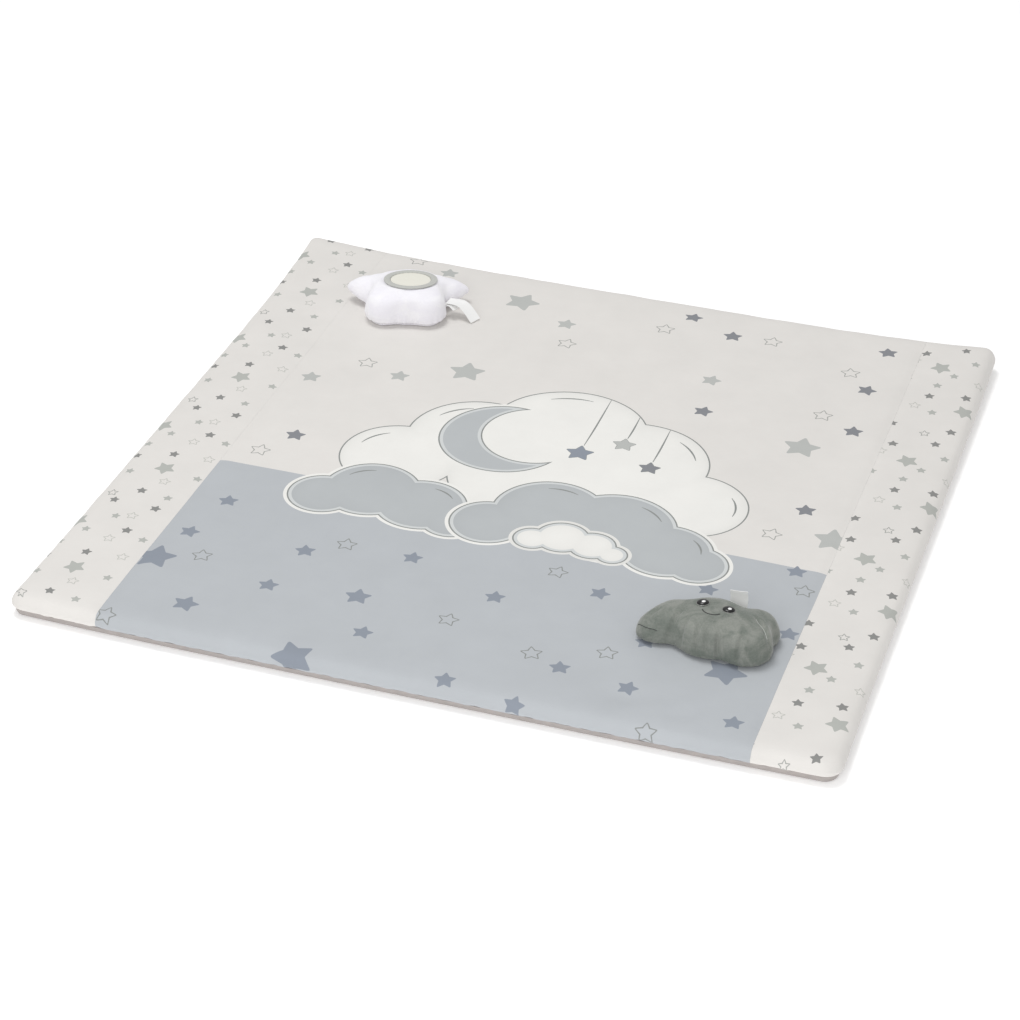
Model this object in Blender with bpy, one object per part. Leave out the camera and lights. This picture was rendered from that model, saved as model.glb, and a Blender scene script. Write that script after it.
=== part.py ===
"""Baby play gym: a padded play mat with a star and a cloud soft toy lying on it.

Metres, +Z up. The origin is on the floor under the middle of the mat. +X runs to the right
border and +Y to the far edge. Every sub-part is one closed solid, GAP clear of the next one.
"""
import math
from collections.abc import Callable
from typing import NamedTuple

import bmesh
import bpy
from mathutils import Vector
from mathutils.bvhtree import BVHTree

GAP = 0.0003
MERGE_DISTANCE = 1e-6
SHARP_ANGLE = math.radians(40.0)

# The mat
MAT_HALF = 0.501
MAT_TOP = 0.030
CORNER_RADIUS = 0.022
CORNER_STEPS = 4
LEFT_SEAM_X = -0.383
RIGHT_SEAM_X = 0.400
SEAM_DIP = 0.0016
SEAM_DIP_WIDTH = 0.007

# The back cloth is turned up round the filling to a seam above the floor
BACK_THICKNESS = 0.002
RIM_HEIGHT = 0.0095
RIM_DEPTH = 0.006
RIM_INSET = 0.004
RIM_STEPS = 3

# Stations of the surface grid, finer where the soft creases lie
GRID_INSET = 0.045
GRID_STEP = 0.036
FINE_STEP = 0.018
SHORTEST_STEP = 0.011
FINE_FROM_X = 0.200
FINE_TO_Y = -0.330

# The toys lie where the mat is pressed flat, and waves run over the rest of its top
FLAT_RADIUS = 0.105
FLAT_BLEND = 0.060
WAVE_HEIGHT = 0.0007
WAVE_LENGTH_X = 0.37
WAVE_LENGTH_Y = 0.43
WAVE_PHASE_X = 0.6
WAVE_PHASE_Y = 1.1

# Shares: of the side's height where the waves set in, and of a crease's length where it fades
WAVES_FROM = 0.8
CREASE_FADE = 0.25

# How strongly the draw-in and the fuller corners keep to the ends of an edge
PULL_POWER = 4
LIFT_POWER = 4

# Toys
TOY_REST_Z = MAT_TOP + GAP
STAR_CENTRE = Vector((-0.297, 0.335))
STAR_TURN = math.radians(17.0)
STAR_SEAM_Z = 0.053
RING_LOCAL = Vector((0.0046, 0.0004))
RING_SEAT_Z = 0.0748
RING_TILT = math.radians(7.6)
RING_RADIUS = 0.0370
RING_HOLE_RADIUS = 0.0280
RING_THICKNESS = 0.003
RING_SIDES = 48
MIRROR_THICKNESS = 0.0015
CLOUD_CENTRE = Vector((0.305, -0.308))
CLOUD_SEAM_Z = 0.050
EYE_RADIUS = 0.0068
EYE_THICKNESS = 0.0018
EYE_SIDES = 24
PROBE_HEIGHT = 0.2

# Labels: each leaves a toy's seam at its root and bends through its bulge to its end
LABEL_THICKNESS = 0.001
STAR_LABEL_STEPS = 8
CLOUD_LABEL_STEPS = 4
STAR_LABEL_WIDTH = 0.018
STAR_LABEL_ACROSS = Vector((0.48, 0.88, 0.0))
STAR_LABEL_ROOT = Vector((-0.2330, 0.3410, 0.0520))
STAR_LABEL_BULGE = Vector((-0.2130, 0.3410, 0.0500))
STAR_LABEL_END = Vector((-0.1970, 0.3330, 0.0312))
CLOUD_LABEL_WIDTH = 0.021
CLOUD_LABEL_ACROSS = Vector((1.0, 0.0, 0.0))
CLOUD_LABEL_ROOT = Vector((0.3250, -0.2608, 0.0500))
CLOUD_LABEL_BULGE = Vector((0.3245, -0.2600, 0.0610))
CLOUD_LABEL_END = Vector((0.3238, -0.2606, 0.0728))


class SidePoint(NamedTuple):
    """A point of the mat's side: how far in from the outline, and how high."""
    inset: float
    height: float


class EdgePull(NamedTuple):
    """How far the filling draws an edge of the mat in, at its two ends and its middle."""
    start: float
    middle: float
    end: float


class CornerLift(NamedTuple):
    """How much fuller than the rest the mat is in one corner."""
    side_x: int
    side_y: int
    lift: float


class Crease(NamedTuple):
    """A soft fold of the top cloth, from one point to another."""
    start_x: float
    start_y: float
    end_x: float
    end_y: float
    half_width: float
    depth: float


class Dome(NamedTuple):
    """One stuffed lobe of a toy: its middle, its radii and its height above the toy's seam."""
    x: float
    y: float
    radius_x: float
    radius_y: float
    crest: float


class Finish(NamedTuple):
    """A plain finish: its name, its linear colour, its roughness and how metallic it is."""
    name: str
    colour: tuple[float, float, float]
    roughness: float
    metallic: float = 0.0


CENTRE_CLOTH = Finish("printed_centre_cloth", (0.50, 0.53, 0.55), 0.75)
BORDER_CLOTH = Finish("printed_border_cloth", (0.76, 0.75, 0.72), 0.75)
BACK_CLOTH = Finish("taupe_back_cloth", (0.46, 0.42, 0.41), 0.85)
STAR_PLUSH = Finish("lilac_white_plush", (0.78, 0.77, 0.85), 0.95)
RING_CLOTH = Finish("grey_ring_cloth", (0.50, 0.51, 0.49), 0.70)
MIRROR_FOIL = Finish("mirror_foil", (0.80, 0.81, 0.72), 0.15, 1.0)
CLOUD_PLUSH = Finish("grey_green_plush", (0.24, 0.26, 0.24), 0.95)
EYE_BLACK = Finish("black_eye", (0.015, 0.015, 0.015), 0.2)
LABEL_SATIN = Finish("label_satin", (0.83, 0.83, 0.82), 0.45)

# Sections of the small turned pieces, as shares of their radius, or of half the ring's width,
# and of their thickness
RING_SECTION = ((-0.9, 0.0), (0.9, 0.0), (1.0, 0.4), (0.6, 1.0), (-0.6, 1.0), (-1.0, 0.4))
MIRROR_SECTION = ((0.985, 0.0), (1.0, 1.0))
EYE_SECTION = ((0.96, 0.0), (1.0, 0.35), (0.86, 0.78), (0.45, 1.0))

# The first point stands over the inner corner of the back cloth's rim
SIDE_ABOVE_RIM = (
    SidePoint(RIM_INSET + BACK_THICKNESS + GAP, RIM_HEIGHT + GAP),
    SidePoint(0.0040, 0.0099),
    SidePoint(0.0013, 0.0117),
    SidePoint(0.0000, 0.0148),
    SidePoint(0.0004, 0.0178),
    SidePoint(0.0022, 0.0216),
    SidePoint(0.0062, 0.0262),
    SidePoint(0.0125, 0.0284),
    SidePoint(0.0240, 0.0296),
    SidePoint(GRID_INSET, MAT_TOP),
)

# Left and right run from the near end to the far end, near and far from left to right
LEFT_PULL = EdgePull(0.0035, 0.0050, 0.0000)
RIGHT_PULL = EdgePull(0.0003, 0.0030, 0.0030)
NEAR_PULL = EdgePull(0.0060, 0.0010, 0.0040)
FAR_PULL = EdgePull(0.0000, 0.0060, 0.0000)
PULL_DEPTH = 0.080

CORNER_LIFTS = (CornerLift(-1, 1, 0.006), CornerLift(1, 1, 0.007), CornerLift(-1, -1, 0.002))

CREASES = (
    Crease(0.290, -0.480, 0.392, -0.378, 0.013, 0.0016),
    Crease(0.212, -0.462, 0.340, -0.402, 0.015, 0.0012),
    Crease(0.405, 0.470, 0.412, 0.380, 0.010, 0.0012),
)

STAR_DOMES = (
    Dome(0.000, 0.000, 0.057, 0.057, 0.0270),
    Dome(-0.060, 0.025, 0.029, 0.026, 0.0150),
    Dome(0.060, 0.025, 0.029, 0.026, 0.0150),
    Dome(0.000, 0.044, 0.026, 0.028, 0.0090),
    Dome(-0.029, -0.030, 0.031, 0.032, 0.0210),
    Dome(-0.001, -0.032, 0.032, 0.027, 0.0190),
    Dome(0.027, -0.030, 0.031, 0.032, 0.0210),
)

CLOUD_DOMES = (
    Dome(0.002, -0.003, 0.060, 0.042, 0.0215),
    Dome(-0.061, -0.014, 0.029, 0.024, 0.0135),
    Dome(-0.044, 0.004, 0.032, 0.029, 0.0155),
    Dome(0.000, 0.014, 0.036, 0.034, 0.0180),
    Dome(0.049, 0.017, 0.032, 0.028, 0.0160),
    Dome(0.043, -0.016, 0.037, 0.034, 0.0205),
    Dome(0.000, -0.023, 0.037, 0.026, 0.0200),
)

DOME_FULLNESS = 2.4
DOME_BLEND = 4.0
UNDERSIDE_FULLNESS = 1.5
TOY_STEPS = 56
TOY_SHELLS = (0.18, 0.36, 0.53, 0.68, 0.80, 0.89, 0.955, 0.99)

# Places of the cloud's eyes, in the mat's own frame
EYE_PLACES = {"cloud_toy_eye_left": (0.2912, -0.2985), "cloud_toy_eye_right": (0.3230, -0.3035)}


def smooth_step(value: float) -> float:
    """Ease from 0 to 1 as the value goes from 0 to 1."""
    value = min(max(value, 0.0), 1.0)
    return value * value * (3.0 - 2.0 * value)


def pulled(pull: EdgePull, along: float) -> float:
    """Give the draw-in of an edge at a place along it, from -1 to 1."""
    end = pull.end if along > 0.0 else pull.start
    return pull.middle + (end - pull.middle) * abs(along) ** PULL_POWER


def plan_place(x: float, y: float) -> tuple[float, float]:
    """Move a point of the plain square to where the drawn-in outline puts it."""
    edge = MAT_HALF - PULL_DEPTH
    near_side = smooth_step((abs(x) - edge) / PULL_DEPTH)
    near_end = smooth_step((abs(y) - edge) / PULL_DEPTH)
    pull_x = pulled(RIGHT_PULL if x > 0.0 else LEFT_PULL, y / MAT_HALF)
    pull_y = pulled(FAR_PULL if y > 0.0 else NEAR_PULL, x / MAT_HALF)
    return (x - math.copysign(pull_x * near_side, x), y - math.copysign(pull_y * near_end, y))


def crease_depth(crease: Crease, x: float, y: float) -> float:
    """Give how far one crease lowers the top at a place, fading at both of its ends."""
    start = Vector((crease.start_x, crease.start_y))
    run = Vector((crease.end_x, crease.end_y)) - start
    offset = Vector((x, y)) - start
    along = offset.dot(run) / run.length_squared
    across = abs(offset.cross(run)) / run.length
    fade = smooth_step(min(along, 1.0 - along) / CREASE_FADE)
    return crease.depth * fade * math.exp(-((across / crease.half_width) ** 2))


def clear_of_toys(x: float, y: float) -> float:
    """Give 0 where a toy presses the mat flat, rising to 1 away from both toys."""
    share = 1.0
    for centre in (STAR_CENTRE, CLOUD_CENTRE):
        away = (Vector((x, y)) - centre).length
        share *= smooth_step((away - FLAT_RADIUS) / FLAT_BLEND)
    return share


def top_shift(x: float, y: float) -> float:
    """Give how far the top of the mat lies above or below its plain height."""
    wave_x = math.sin(math.tau * x / WAVE_LENGTH_X + WAVE_PHASE_X)
    wave_y = math.sin(math.tau * y / WAVE_LENGTH_Y + WAVE_PHASE_Y)
    shift = WAVE_HEIGHT * wave_x * wave_y
    for seam_x in (LEFT_SEAM_X, RIGHT_SEAM_X):
        shift -= SEAM_DIP * math.exp(-(((x - seam_x) / SEAM_DIP_WIDTH) ** 2))
    for crease in CREASES:
        shift -= crease_depth(crease, x, y)
    return shift * clear_of_toys(x, y)


def corner_lift(x: float, y: float) -> float:
    """Give how much the fuller corners raise the top at a place."""
    lift = 0.0
    for corner in CORNER_LIFTS:
        reach_x = max(corner.side_x * x / MAT_HALF, 0.0)
        reach_y = max(corner.side_y * y / MAT_HALF, 0.0)
        lift += corner.lift * (reach_x * reach_y) ** LIFT_POWER
    return lift * clear_of_toys(x, y)


def shape_mat_point(point: Vector, filled: bool) -> Vector:
    """Give a point of the plain mat its place on the filled one."""
    x, y = plan_place(point.x, point.y)
    z = point.z
    if filled:
        above_rim = min(max((z - RIM_HEIGHT) / (MAT_TOP - RIM_HEIGHT), 0.0), 1.0)
        z += corner_lift(point.x, point.y) * above_rim
        z += top_shift(point.x, point.y) * smooth_step((above_rim - WAVES_FROM) / (1.0 - WAVES_FROM))
    return Vector((x, y, z))


def rim_arc(inward: float) -> list[SidePoint]:
    """Give the turned-up rim's arc at a distance inside its outer face, from low up to the seam."""
    points = []
    for step in range(RIM_STEPS + 1):
        angle = 0.5 * math.pi * step / RIM_STEPS
        inset = RIM_INSET + RIM_DEPTH - (RIM_DEPTH - inward) * math.sin(angle)
        points.append(SidePoint(inset, RIM_HEIGHT - (RIM_HEIGHT - inward) * math.cos(angle)))
    return points


def stations(low: float, high: float, fine_low: float, fine_high: float) -> list[float]:
    """Give places along an edge, closer together inside the fine stretch."""
    places = [low]
    while places[-1] < high - FINE_STEP:
        fine = fine_low <= places[-1] + 0.5 * GRID_STEP <= fine_high
        places.append(places[-1] + (FINE_STEP if fine else GRID_STEP))
    if high - places[-1] < SHORTEST_STEP:
        places.pop()
    places.append(high)
    return places


GRID_HALF = MAT_HALF - GRID_INSET
X_STATIONS = stations(-GRID_HALF, GRID_HALF, FINE_FROM_X, GRID_HALF)
Y_STATIONS = stations(-GRID_HALF, GRID_HALF, -GRID_HALF, FINE_TO_Y)


def ring_points(side: SidePoint) -> list[Vector]:
    """Give one level ring round the mat, counter-clockwise from the near left corner."""
    half = MAT_HALF - side.inset
    radius = max(CORNER_RADIUS - side.inset, 0.0)
    straight = half - radius
    stretch = straight / GRID_HALF
    edges = (
        [(x * stretch, -half) for x in X_STATIONS],
        [(half, y * stretch) for y in Y_STATIONS],
        [(x * stretch, half) for x in reversed(X_STATIONS)],
        [(-half, y * stretch) for y in reversed(Y_STATIONS)],
    )
    corners = ((straight, -straight), (straight, straight), (-straight, straight), (-straight, -straight))
    points = []
    for quarter, (edge, corner) in enumerate(zip(edges, corners)):
        points += [Vector((x, y, side.height)) for x, y in edge]
        for step in range(1, CORNER_STEPS):
            angle = 0.5 * math.pi * (quarter - 1 + step / CORNER_STEPS)
            x = corner[0] + radius * math.cos(angle)
            y = corner[1] + radius * math.sin(angle)
            points.append(Vector((x, y, side.height)))
    return points


def add_ring_faces(mesh: bmesh.types.BMesh, lower: list, upper: list) -> None:
    """Join two rings of the same count with faces that look outwards."""
    for index in range(len(lower)):
        after = (index + 1) % len(lower)
        corners = (lower[index], lower[after], upper[after], upper[index])
        mesh.faces.new(corners)


def add_top_grid(mesh: bmesh.types.BMesh, ring: list) -> None:
    """Fill the innermost top ring with a grid of faces, and its corners with fans."""
    columns = len(X_STATIONS)
    rows = len(Y_STATIONS)
    near = ring[:columns]
    right_start = columns + CORNER_STEPS - 1
    right = ring[right_start:right_start + rows]
    far_start = right_start + rows + CORNER_STEPS - 1
    far = ring[far_start:far_start + columns][::-1]
    left_start = far_start + columns + CORNER_STEPS - 1
    left = ring[left_start:left_start + rows][::-1]
    grid = [near]
    for row in range(1, rows - 1):
        line = [left[row]]
        for x in X_STATIONS[1:-1]:
            line.append(mesh.verts.new((x, Y_STATIONS[row], MAT_TOP)))
        grid.append(line + [right[row]])
    grid.append(far)
    for lower, upper in zip(grid, grid[1:]):
        for column in range(columns - 1):
            mesh.faces.new((lower[column], lower[column + 1], upper[column + 1], upper[column]))


def filled_mat() -> bmesh.types.BMesh:
    """Model the mat's whole filling with its top cloth, before it is parted at the seams."""
    mesh = bmesh.new()
    profile = rim_arc(BACK_THICKNESS + GAP)[:-1] + list(SIDE_ABOVE_RIM)
    rings = [[mesh.verts.new(point) for point in ring_points(side)] for side in profile]
    for lower, upper in zip(rings, rings[1:]):
        add_ring_faces(mesh, lower, upper)
    mesh.faces.new(rings[0][::-1])
    add_top_grid(mesh, rings[-1])
    bmesh.ops.remove_doubles(mesh, verts=mesh.verts, dist=MERGE_DISTANCE)
    bmesh.ops.dissolve_degenerate(mesh, edges=mesh.edges, dist=MERGE_DISTANCE)
    return mesh


def cut_side(mesh: bmesh.types.BMesh, seam_x: float, keep: int) -> None:
    """Cut the mat at a seam, keep the side that keep points to, and close the cut face."""
    plane_x = seam_x + keep * 0.5 * GAP
    geometry = list(mesh.verts) + list(mesh.edges) + list(mesh.faces)
    bmesh.ops.bisect_plane(mesh, geom=geometry, dist=MERGE_DISTANCE, plane_co=(plane_x, 0.0, 0.0),
                           plane_no=(keep, 0.0, 0.0), clear_inner=True)
    rim = [edge for edge in mesh.edges if edge.is_boundary]
    bmesh.ops.holes_fill(mesh, edges=rim, sides=0)


def make_material(name: str, finish: Finish) -> bpy.types.Material:
    """Make one piece's own plain material."""
    material = bpy.data.materials.new(name)
    material.use_nodes = True
    shader = material.node_tree.nodes["Principled BSDF"]
    shader.inputs["Base Color"].default_value = (*finish.colour, 1.0)
    shader.inputs["Roughness"].default_value = finish.roughness
    shader.inputs["Metallic"].default_value = finish.metallic
    return material


def finish_object(name: str, mesh: bmesh.types.BMesh, finish: Finish) -> bpy.types.Object:
    """Turn a modelled mesh into a named object with outward faces and its own material."""
    bmesh.ops.triangulate(mesh, faces=mesh.faces)
    bmesh.ops.recalc_face_normals(mesh, faces=mesh.faces)
    data = bpy.data.meshes.new(name)
    mesh.to_mesh(data)
    mesh.free()
    data.materials.append(make_material(f"{name}_{finish.name}", finish))
    data.shade_smooth()
    data.set_sharp_from_angle(angle=SHARP_ANGLE)
    thing = bpy.data.objects.new(name, data)
    bpy.context.scene.collection.objects.link(thing)
    return thing


def build_panel(name: str, cuts: list[tuple[float, int]], finish: Finish) -> bpy.types.Object:
    """Build one panel of the mat with the filling under it."""
    mesh = filled_mat()
    for seam_x, keep in cuts:
        cut_side(mesh, seam_x, keep)
    for vert in mesh.verts:
        vert.co = shape_mat_point(vert.co, filled=True)
    return finish_object(name, mesh, finish)


def build_back_cloth() -> bpy.types.Object:
    """Build the back cloth: a flat sheet whose rim is turned up to the seam all round."""
    mesh = bmesh.new()
    outer = rim_arc(0.0)
    inner = rim_arc(BACK_THICKNESS)[::-1]
    rings = [[mesh.verts.new(point) for point in ring_points(side)] for side in outer + inner]
    for lower, upper in zip(rings, rings[1:]):
        add_ring_faces(mesh, lower, upper)
    mesh.faces.new(rings[0][::-1])
    mesh.faces.new(rings[-1])
    for vert in mesh.verts:
        vert.co = shape_mat_point(vert.co, filled=False)
    return finish_object("back_cloth", mesh, BACK_CLOTH)


def dome_exit(dome: Dome, angle: float) -> float:
    """Give how far along a ray from the toy's middle a dome's rim lies, or 0 if it is missed."""
    ray = Vector((math.cos(angle) / dome.radius_x, math.sin(angle) / dome.radius_y))
    middle = Vector((dome.x / dome.radius_x, dome.y / dome.radius_y))
    half_b = ray.dot(middle)
    inside = half_b * half_b - ray.length_squared * (middle.length_squared - 1.0)
    return (half_b + math.sqrt(inside)) / ray.length_squared if inside > 0.0 else 0.0


def domes_height(domes: tuple[Dome, ...], x: float, y: float) -> float:
    """Give the height of the blended domes above the seam at a place."""
    total = 0.0
    for dome in domes:
        reach = math.hypot((x - dome.x) / dome.radius_x, (y - dome.y) / dome.radius_y)
        if reach < 1.0:
            height = dome.crest * (1.0 - reach ** DOME_FULLNESS) ** (1.0 / DOME_FULLNESS)
            total += height ** DOME_BLEND
    return total ** (1.0 / DOME_BLEND)


def ring_plane_height(x: float, y: float) -> float:
    """Give the height of the plane that the mirror's ring lies on, in the star's own axes."""
    return RING_SEAT_Z - math.tan(RING_TILT) * (y - RING_LOCAL.y)


def to_mat(local: Vector, centre: Vector, turn: float) -> Vector:
    """Turn a toy's own point about its middle and place it on the mat."""
    x = centre.x + local.x * math.cos(turn) - local.y * math.sin(turn)
    y = centre.y + local.x * math.sin(turn) + local.y * math.cos(turn)
    return Vector((x, y, local.z))


def no_limit(x: float, y: float) -> float:
    """Let the plush rise freely at any place."""
    return math.inf


def build_plush(name: str, domes: tuple[Dome, ...], centre: Vector, turn: float, seam_z: float,
                top_limit: Callable[[float, float], float], finish: Finish) -> bpy.types.Object:
    """Build a stuffed toy body from its domes: crowned above the seam, flatter below it."""
    mesh = bmesh.new()
    angles = [math.tau * step / TOY_STEPS for step in range(TOY_STEPS)]
    reaches = [max(dome_exit(dome, angle) for dome in domes) for angle in angles]

    def shell(share: float, upper: bool) -> list:
        """Add one ring of points at a share of the outline's reach."""
        ring = []
        for angle, reach in zip(angles, reaches):
            x = share * reach * math.cos(angle)
            y = share * reach * math.sin(angle)
            height = 0.0 if share >= 1.0 else domes_height(domes, x, y)
            z = min(seam_z + height, top_limit(x, y))
            if not upper:
                z = max(seam_z - UNDERSIDE_FULLNESS * height, TOY_REST_Z)
            ring.append(mesh.verts.new(to_mat(Vector((x, y, z)), centre, turn)))
        return ring

    seam = shell(1.0, True)
    for upper in (True, False):
        rings = [shell(share, upper) for share in TOY_SHELLS] + [seam]
        for inner, outer in zip(rings, rings[1:]):
            add_ring_faces(mesh, inner, outer)
        crown = min(seam_z + domes_height(domes, 0.0, 0.0), top_limit(0.0, 0.0))
        pole = mesh.verts.new(to_mat(Vector((0.0, 0.0, crown if upper else TOY_REST_Z)), centre, turn))
        for index, vert in enumerate(rings[0]):
            mesh.faces.new((pole, vert, rings[0][(index + 1) % TOY_STEPS]))
    return finish_object(name, mesh, finish)


def build_turned(name: str, section: list[tuple[float, float]], closed: bool, steps: int,
                 place: Callable[[Vector], Vector], finish: Finish) -> bpy.types.Object:
    """Turn a section of radius and height pairs about its axis, then place each point."""
    mesh = bmesh.new()
    rings = []
    for radius, height in section:
        ring = []
        for step in range(steps):
            angle = math.tau * step / steps
            local = Vector((radius * math.cos(angle), radius * math.sin(angle), height))
            ring.append(mesh.verts.new(place(local)))
        rings.append(ring)
    for lower, upper in zip(rings, rings[1:]):
        add_ring_faces(mesh, lower, upper)
    if closed:
        add_ring_faces(mesh, rings[-1], rings[0])
    else:
        mesh.faces.new(rings[0][::-1])
        mesh.faces.new(rings[-1])
    return finish_object(name, mesh, finish)


def place_on_ring_plane(local: Vector) -> Vector:
    """Place a point given about the ring's own axis onto the tilted seat of the star toy."""
    y = RING_LOCAL.y + local.y * math.cos(RING_TILT) + local.z * math.sin(RING_TILT)
    z = RING_SEAT_Z - local.y * math.sin(RING_TILT) + (local.z + GAP) * math.cos(RING_TILT)
    return to_mat(Vector((RING_LOCAL.x + local.x, y, z)), STAR_CENTRE, STAR_TURN)


def build_label(name: str, path: list[Vector], across: Vector, width: float) -> bpy.types.Object:
    """Build a label: a thin strip of constant width along a path of middle points."""
    mesh = bmesh.new()
    rings = []
    for index, point in enumerate(path):
        before = path[max(index - 1, 0)]
        after = path[min(index + 1, len(path) - 1)]
        along = (after - before).normalized()
        side = (across - along * across.dot(along)).normalized() * 0.5 * width
        lift = along.cross(side).normalized() * 0.5 * LABEL_THICKNESS
        corners = (point - side - lift, point + side - lift, point + side + lift, point - side + lift)
        rings.append([mesh.verts.new(corner) for corner in corners])
    for lower, upper in zip(rings, rings[1:]):
        add_ring_faces(mesh, lower, upper)
    mesh.faces.new(rings[0][::-1])
    mesh.faces.new(rings[-1])
    return finish_object(name, mesh, LABEL_SATIN)


def arc_path(start: Vector, end: Vector, bulge: Vector, steps: int) -> list[Vector]:
    """Give points of a smooth bend from start to end that passes near a bulge."""
    points = []
    for step in range(steps + 1):
        share = step / steps
        rest = 1.0 - share
        points.append(start * rest * rest + bulge * 2.0 * rest * share + end * share * share)
    return points


def build_eye(name: str, x: float, y: float, body: bpy.types.Object) -> bpy.types.Object:
    """Build a round eye that lies on the toy's face, tilted as the plush is there."""
    tree = BVHTree.FromPolygons([v.co for v in body.data.vertices], [p.vertices for p in body.data.polygons])
    down = Vector((0.0, 0.0, -1.0))

    def surface_z(px: float, py: float) -> float:
        """Give the height of the toy's top at a place."""
        return tree.ray_cast(Vector((px, py, PROBE_HEIGHT)), down)[0].z

    slope_x = (surface_z(x + EYE_RADIUS, y) - surface_z(x - EYE_RADIUS, y)) / (2.0 * EYE_RADIUS)
    slope_y = (surface_z(x, y + EYE_RADIUS) - surface_z(x, y - EYE_RADIUS)) / (2.0 * EYE_RADIUS)
    normal = Vector((-slope_x, -slope_y, 1.0)).normalized()
    turn = Vector((0.0, 0.0, 1.0)).rotation_difference(normal)
    seat = surface_z(x, y)
    corners = [Vector((math.cos(math.tau * side / EYE_SIDES), math.sin(math.tau * side / EYE_SIDES), 0.0))
               for side in range(EYE_SIDES)]
    rim = [turn @ (corner * EYE_RADIUS) for corner in corners]
    inner = [point * 0.5 for point in rim]
    rise = max(surface_z(x + p.x, y + p.y) - (seat + p.z) for p in rim + inner + [Vector((0.0, 0.0, 0.0))])
    base = Vector((x, y, seat + max(rise, 0.0))) + normal * GAP
    section = [(EYE_RADIUS * out, EYE_THICKNESS * up) for out, up in EYE_SECTION]
    return build_turned(name, section, False, EYE_SIDES, lambda local: base + turn @ local, EYE_BLACK)


def build_mat() -> None:
    """Build the mat's three panels and its back cloth."""
    build_panel("centre_panel", [(LEFT_SEAM_X, 1), (RIGHT_SEAM_X, -1)], CENTRE_CLOTH)
    build_panel("left_border", [(LEFT_SEAM_X, -1)], BORDER_CLOTH)
    build_panel("right_border", [(RIGHT_SEAM_X, 1)], BORDER_CLOTH)
    build_back_cloth()


def build_star_toy() -> None:
    """Build the star toy: its body, the mirror in its ring, and its label."""
    build_plush("star_toy_body", STAR_DOMES, STAR_CENTRE, STAR_TURN, STAR_SEAM_Z, ring_plane_height,
                STAR_PLUSH)
    middle = 0.5 * (RING_RADIUS + RING_HOLE_RADIUS)
    half = 0.5 * (RING_RADIUS - RING_HOLE_RADIUS)
    ring_section = [(middle + half * out, RING_THICKNESS * up) for out, up in RING_SECTION]
    build_turned("star_toy_ring", ring_section, True, RING_SIDES, place_on_ring_plane, RING_CLOTH)
    mirror_radius = RING_HOLE_RADIUS - GAP
    mirror_section = [(mirror_radius * out, MIRROR_THICKNESS * up) for out, up in MIRROR_SECTION]
    build_turned("star_toy_mirror", mirror_section, False, RING_SIDES, place_on_ring_plane, MIRROR_FOIL)
    path = arc_path(STAR_LABEL_ROOT, STAR_LABEL_END, STAR_LABEL_BULGE, STAR_LABEL_STEPS)
    build_label("star_toy_label", path, STAR_LABEL_ACROSS, STAR_LABEL_WIDTH)


def build_cloud_toy() -> None:
    """Build the cloud toy: its body, its two eyes and its label."""
    body = build_plush("cloud_toy_body", CLOUD_DOMES, CLOUD_CENTRE, 0.0, CLOUD_SEAM_Z, no_limit, CLOUD_PLUSH)
    for name, (x, y) in EYE_PLACES.items():
        build_eye(name, x, y, body)
    path = arc_path(CLOUD_LABEL_ROOT, CLOUD_LABEL_END, CLOUD_LABEL_BULGE, CLOUD_LABEL_STEPS)
    build_label("cloud_toy_label", path, CLOUD_LABEL_ACROSS, CLOUD_LABEL_WIDTH)


def main() -> None:
    """Clear the scene and build every sub-part."""
    for thing in list(bpy.data.objects):
        bpy.data.objects.remove(thing, do_unlink=True)
    build_mat()
    build_star_toy()
    build_cloud_toy()


main()
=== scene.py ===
"""Baby play gym: the looks of a padded play mat with a star and a cloud soft toy lying on it.

Metres, +Z up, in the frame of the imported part. The mat's cloths are first drawn flat, with every
printed shape as an outline in the mesh, and then laid over the mat's filled form. The toys are
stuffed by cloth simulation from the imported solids, and get their stitches, eyes and labels after.
"""

import logging
import math
from dataclasses import dataclass, field
from enum import Enum
from typing import NamedTuple

import bmesh
import bpy
import numpy as np
from mathutils import Matrix, Vector
from mathutils.bvhtree import BVHTree
from mathutils.geometry import delaunay_2d_cdt

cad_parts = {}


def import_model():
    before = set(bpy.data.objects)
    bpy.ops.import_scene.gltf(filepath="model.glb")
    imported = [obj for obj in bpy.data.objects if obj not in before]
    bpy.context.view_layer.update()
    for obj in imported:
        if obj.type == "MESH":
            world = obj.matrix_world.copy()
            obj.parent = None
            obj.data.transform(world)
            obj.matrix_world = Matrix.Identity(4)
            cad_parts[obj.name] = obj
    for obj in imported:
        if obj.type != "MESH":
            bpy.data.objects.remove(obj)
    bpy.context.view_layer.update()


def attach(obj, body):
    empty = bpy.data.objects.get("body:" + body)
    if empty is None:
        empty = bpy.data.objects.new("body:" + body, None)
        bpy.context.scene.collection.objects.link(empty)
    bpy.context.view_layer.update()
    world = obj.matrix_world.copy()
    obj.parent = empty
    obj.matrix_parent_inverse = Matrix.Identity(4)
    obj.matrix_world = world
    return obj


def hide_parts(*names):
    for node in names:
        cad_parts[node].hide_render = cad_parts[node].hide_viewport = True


LOG = logging.getLogger("baby_play_gym")
BODY = "root"
MM = 0.001
GAP = 0.0003
UP = Vector((0.0, 0.0, 1.0))


# Small helpers


def srgb(code: str) -> tuple[float, float, float, float]:
    """Turn an sRGB hex colour into linear colour.

    Args:
        code: Six hex digits.

    Returns:
        Linear red, green and blue, with alpha 1.
    """
    linear = []
    for start in (0, 2, 4):
        value = int(code[start:start + 2], 16) / 255.0
        linear.append(value / 12.92 if value <= 0.04045 else ((value + 0.055) / 1.055) ** 2.4)
    return (linear[0], linear[1], linear[2], 1.0)


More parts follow.
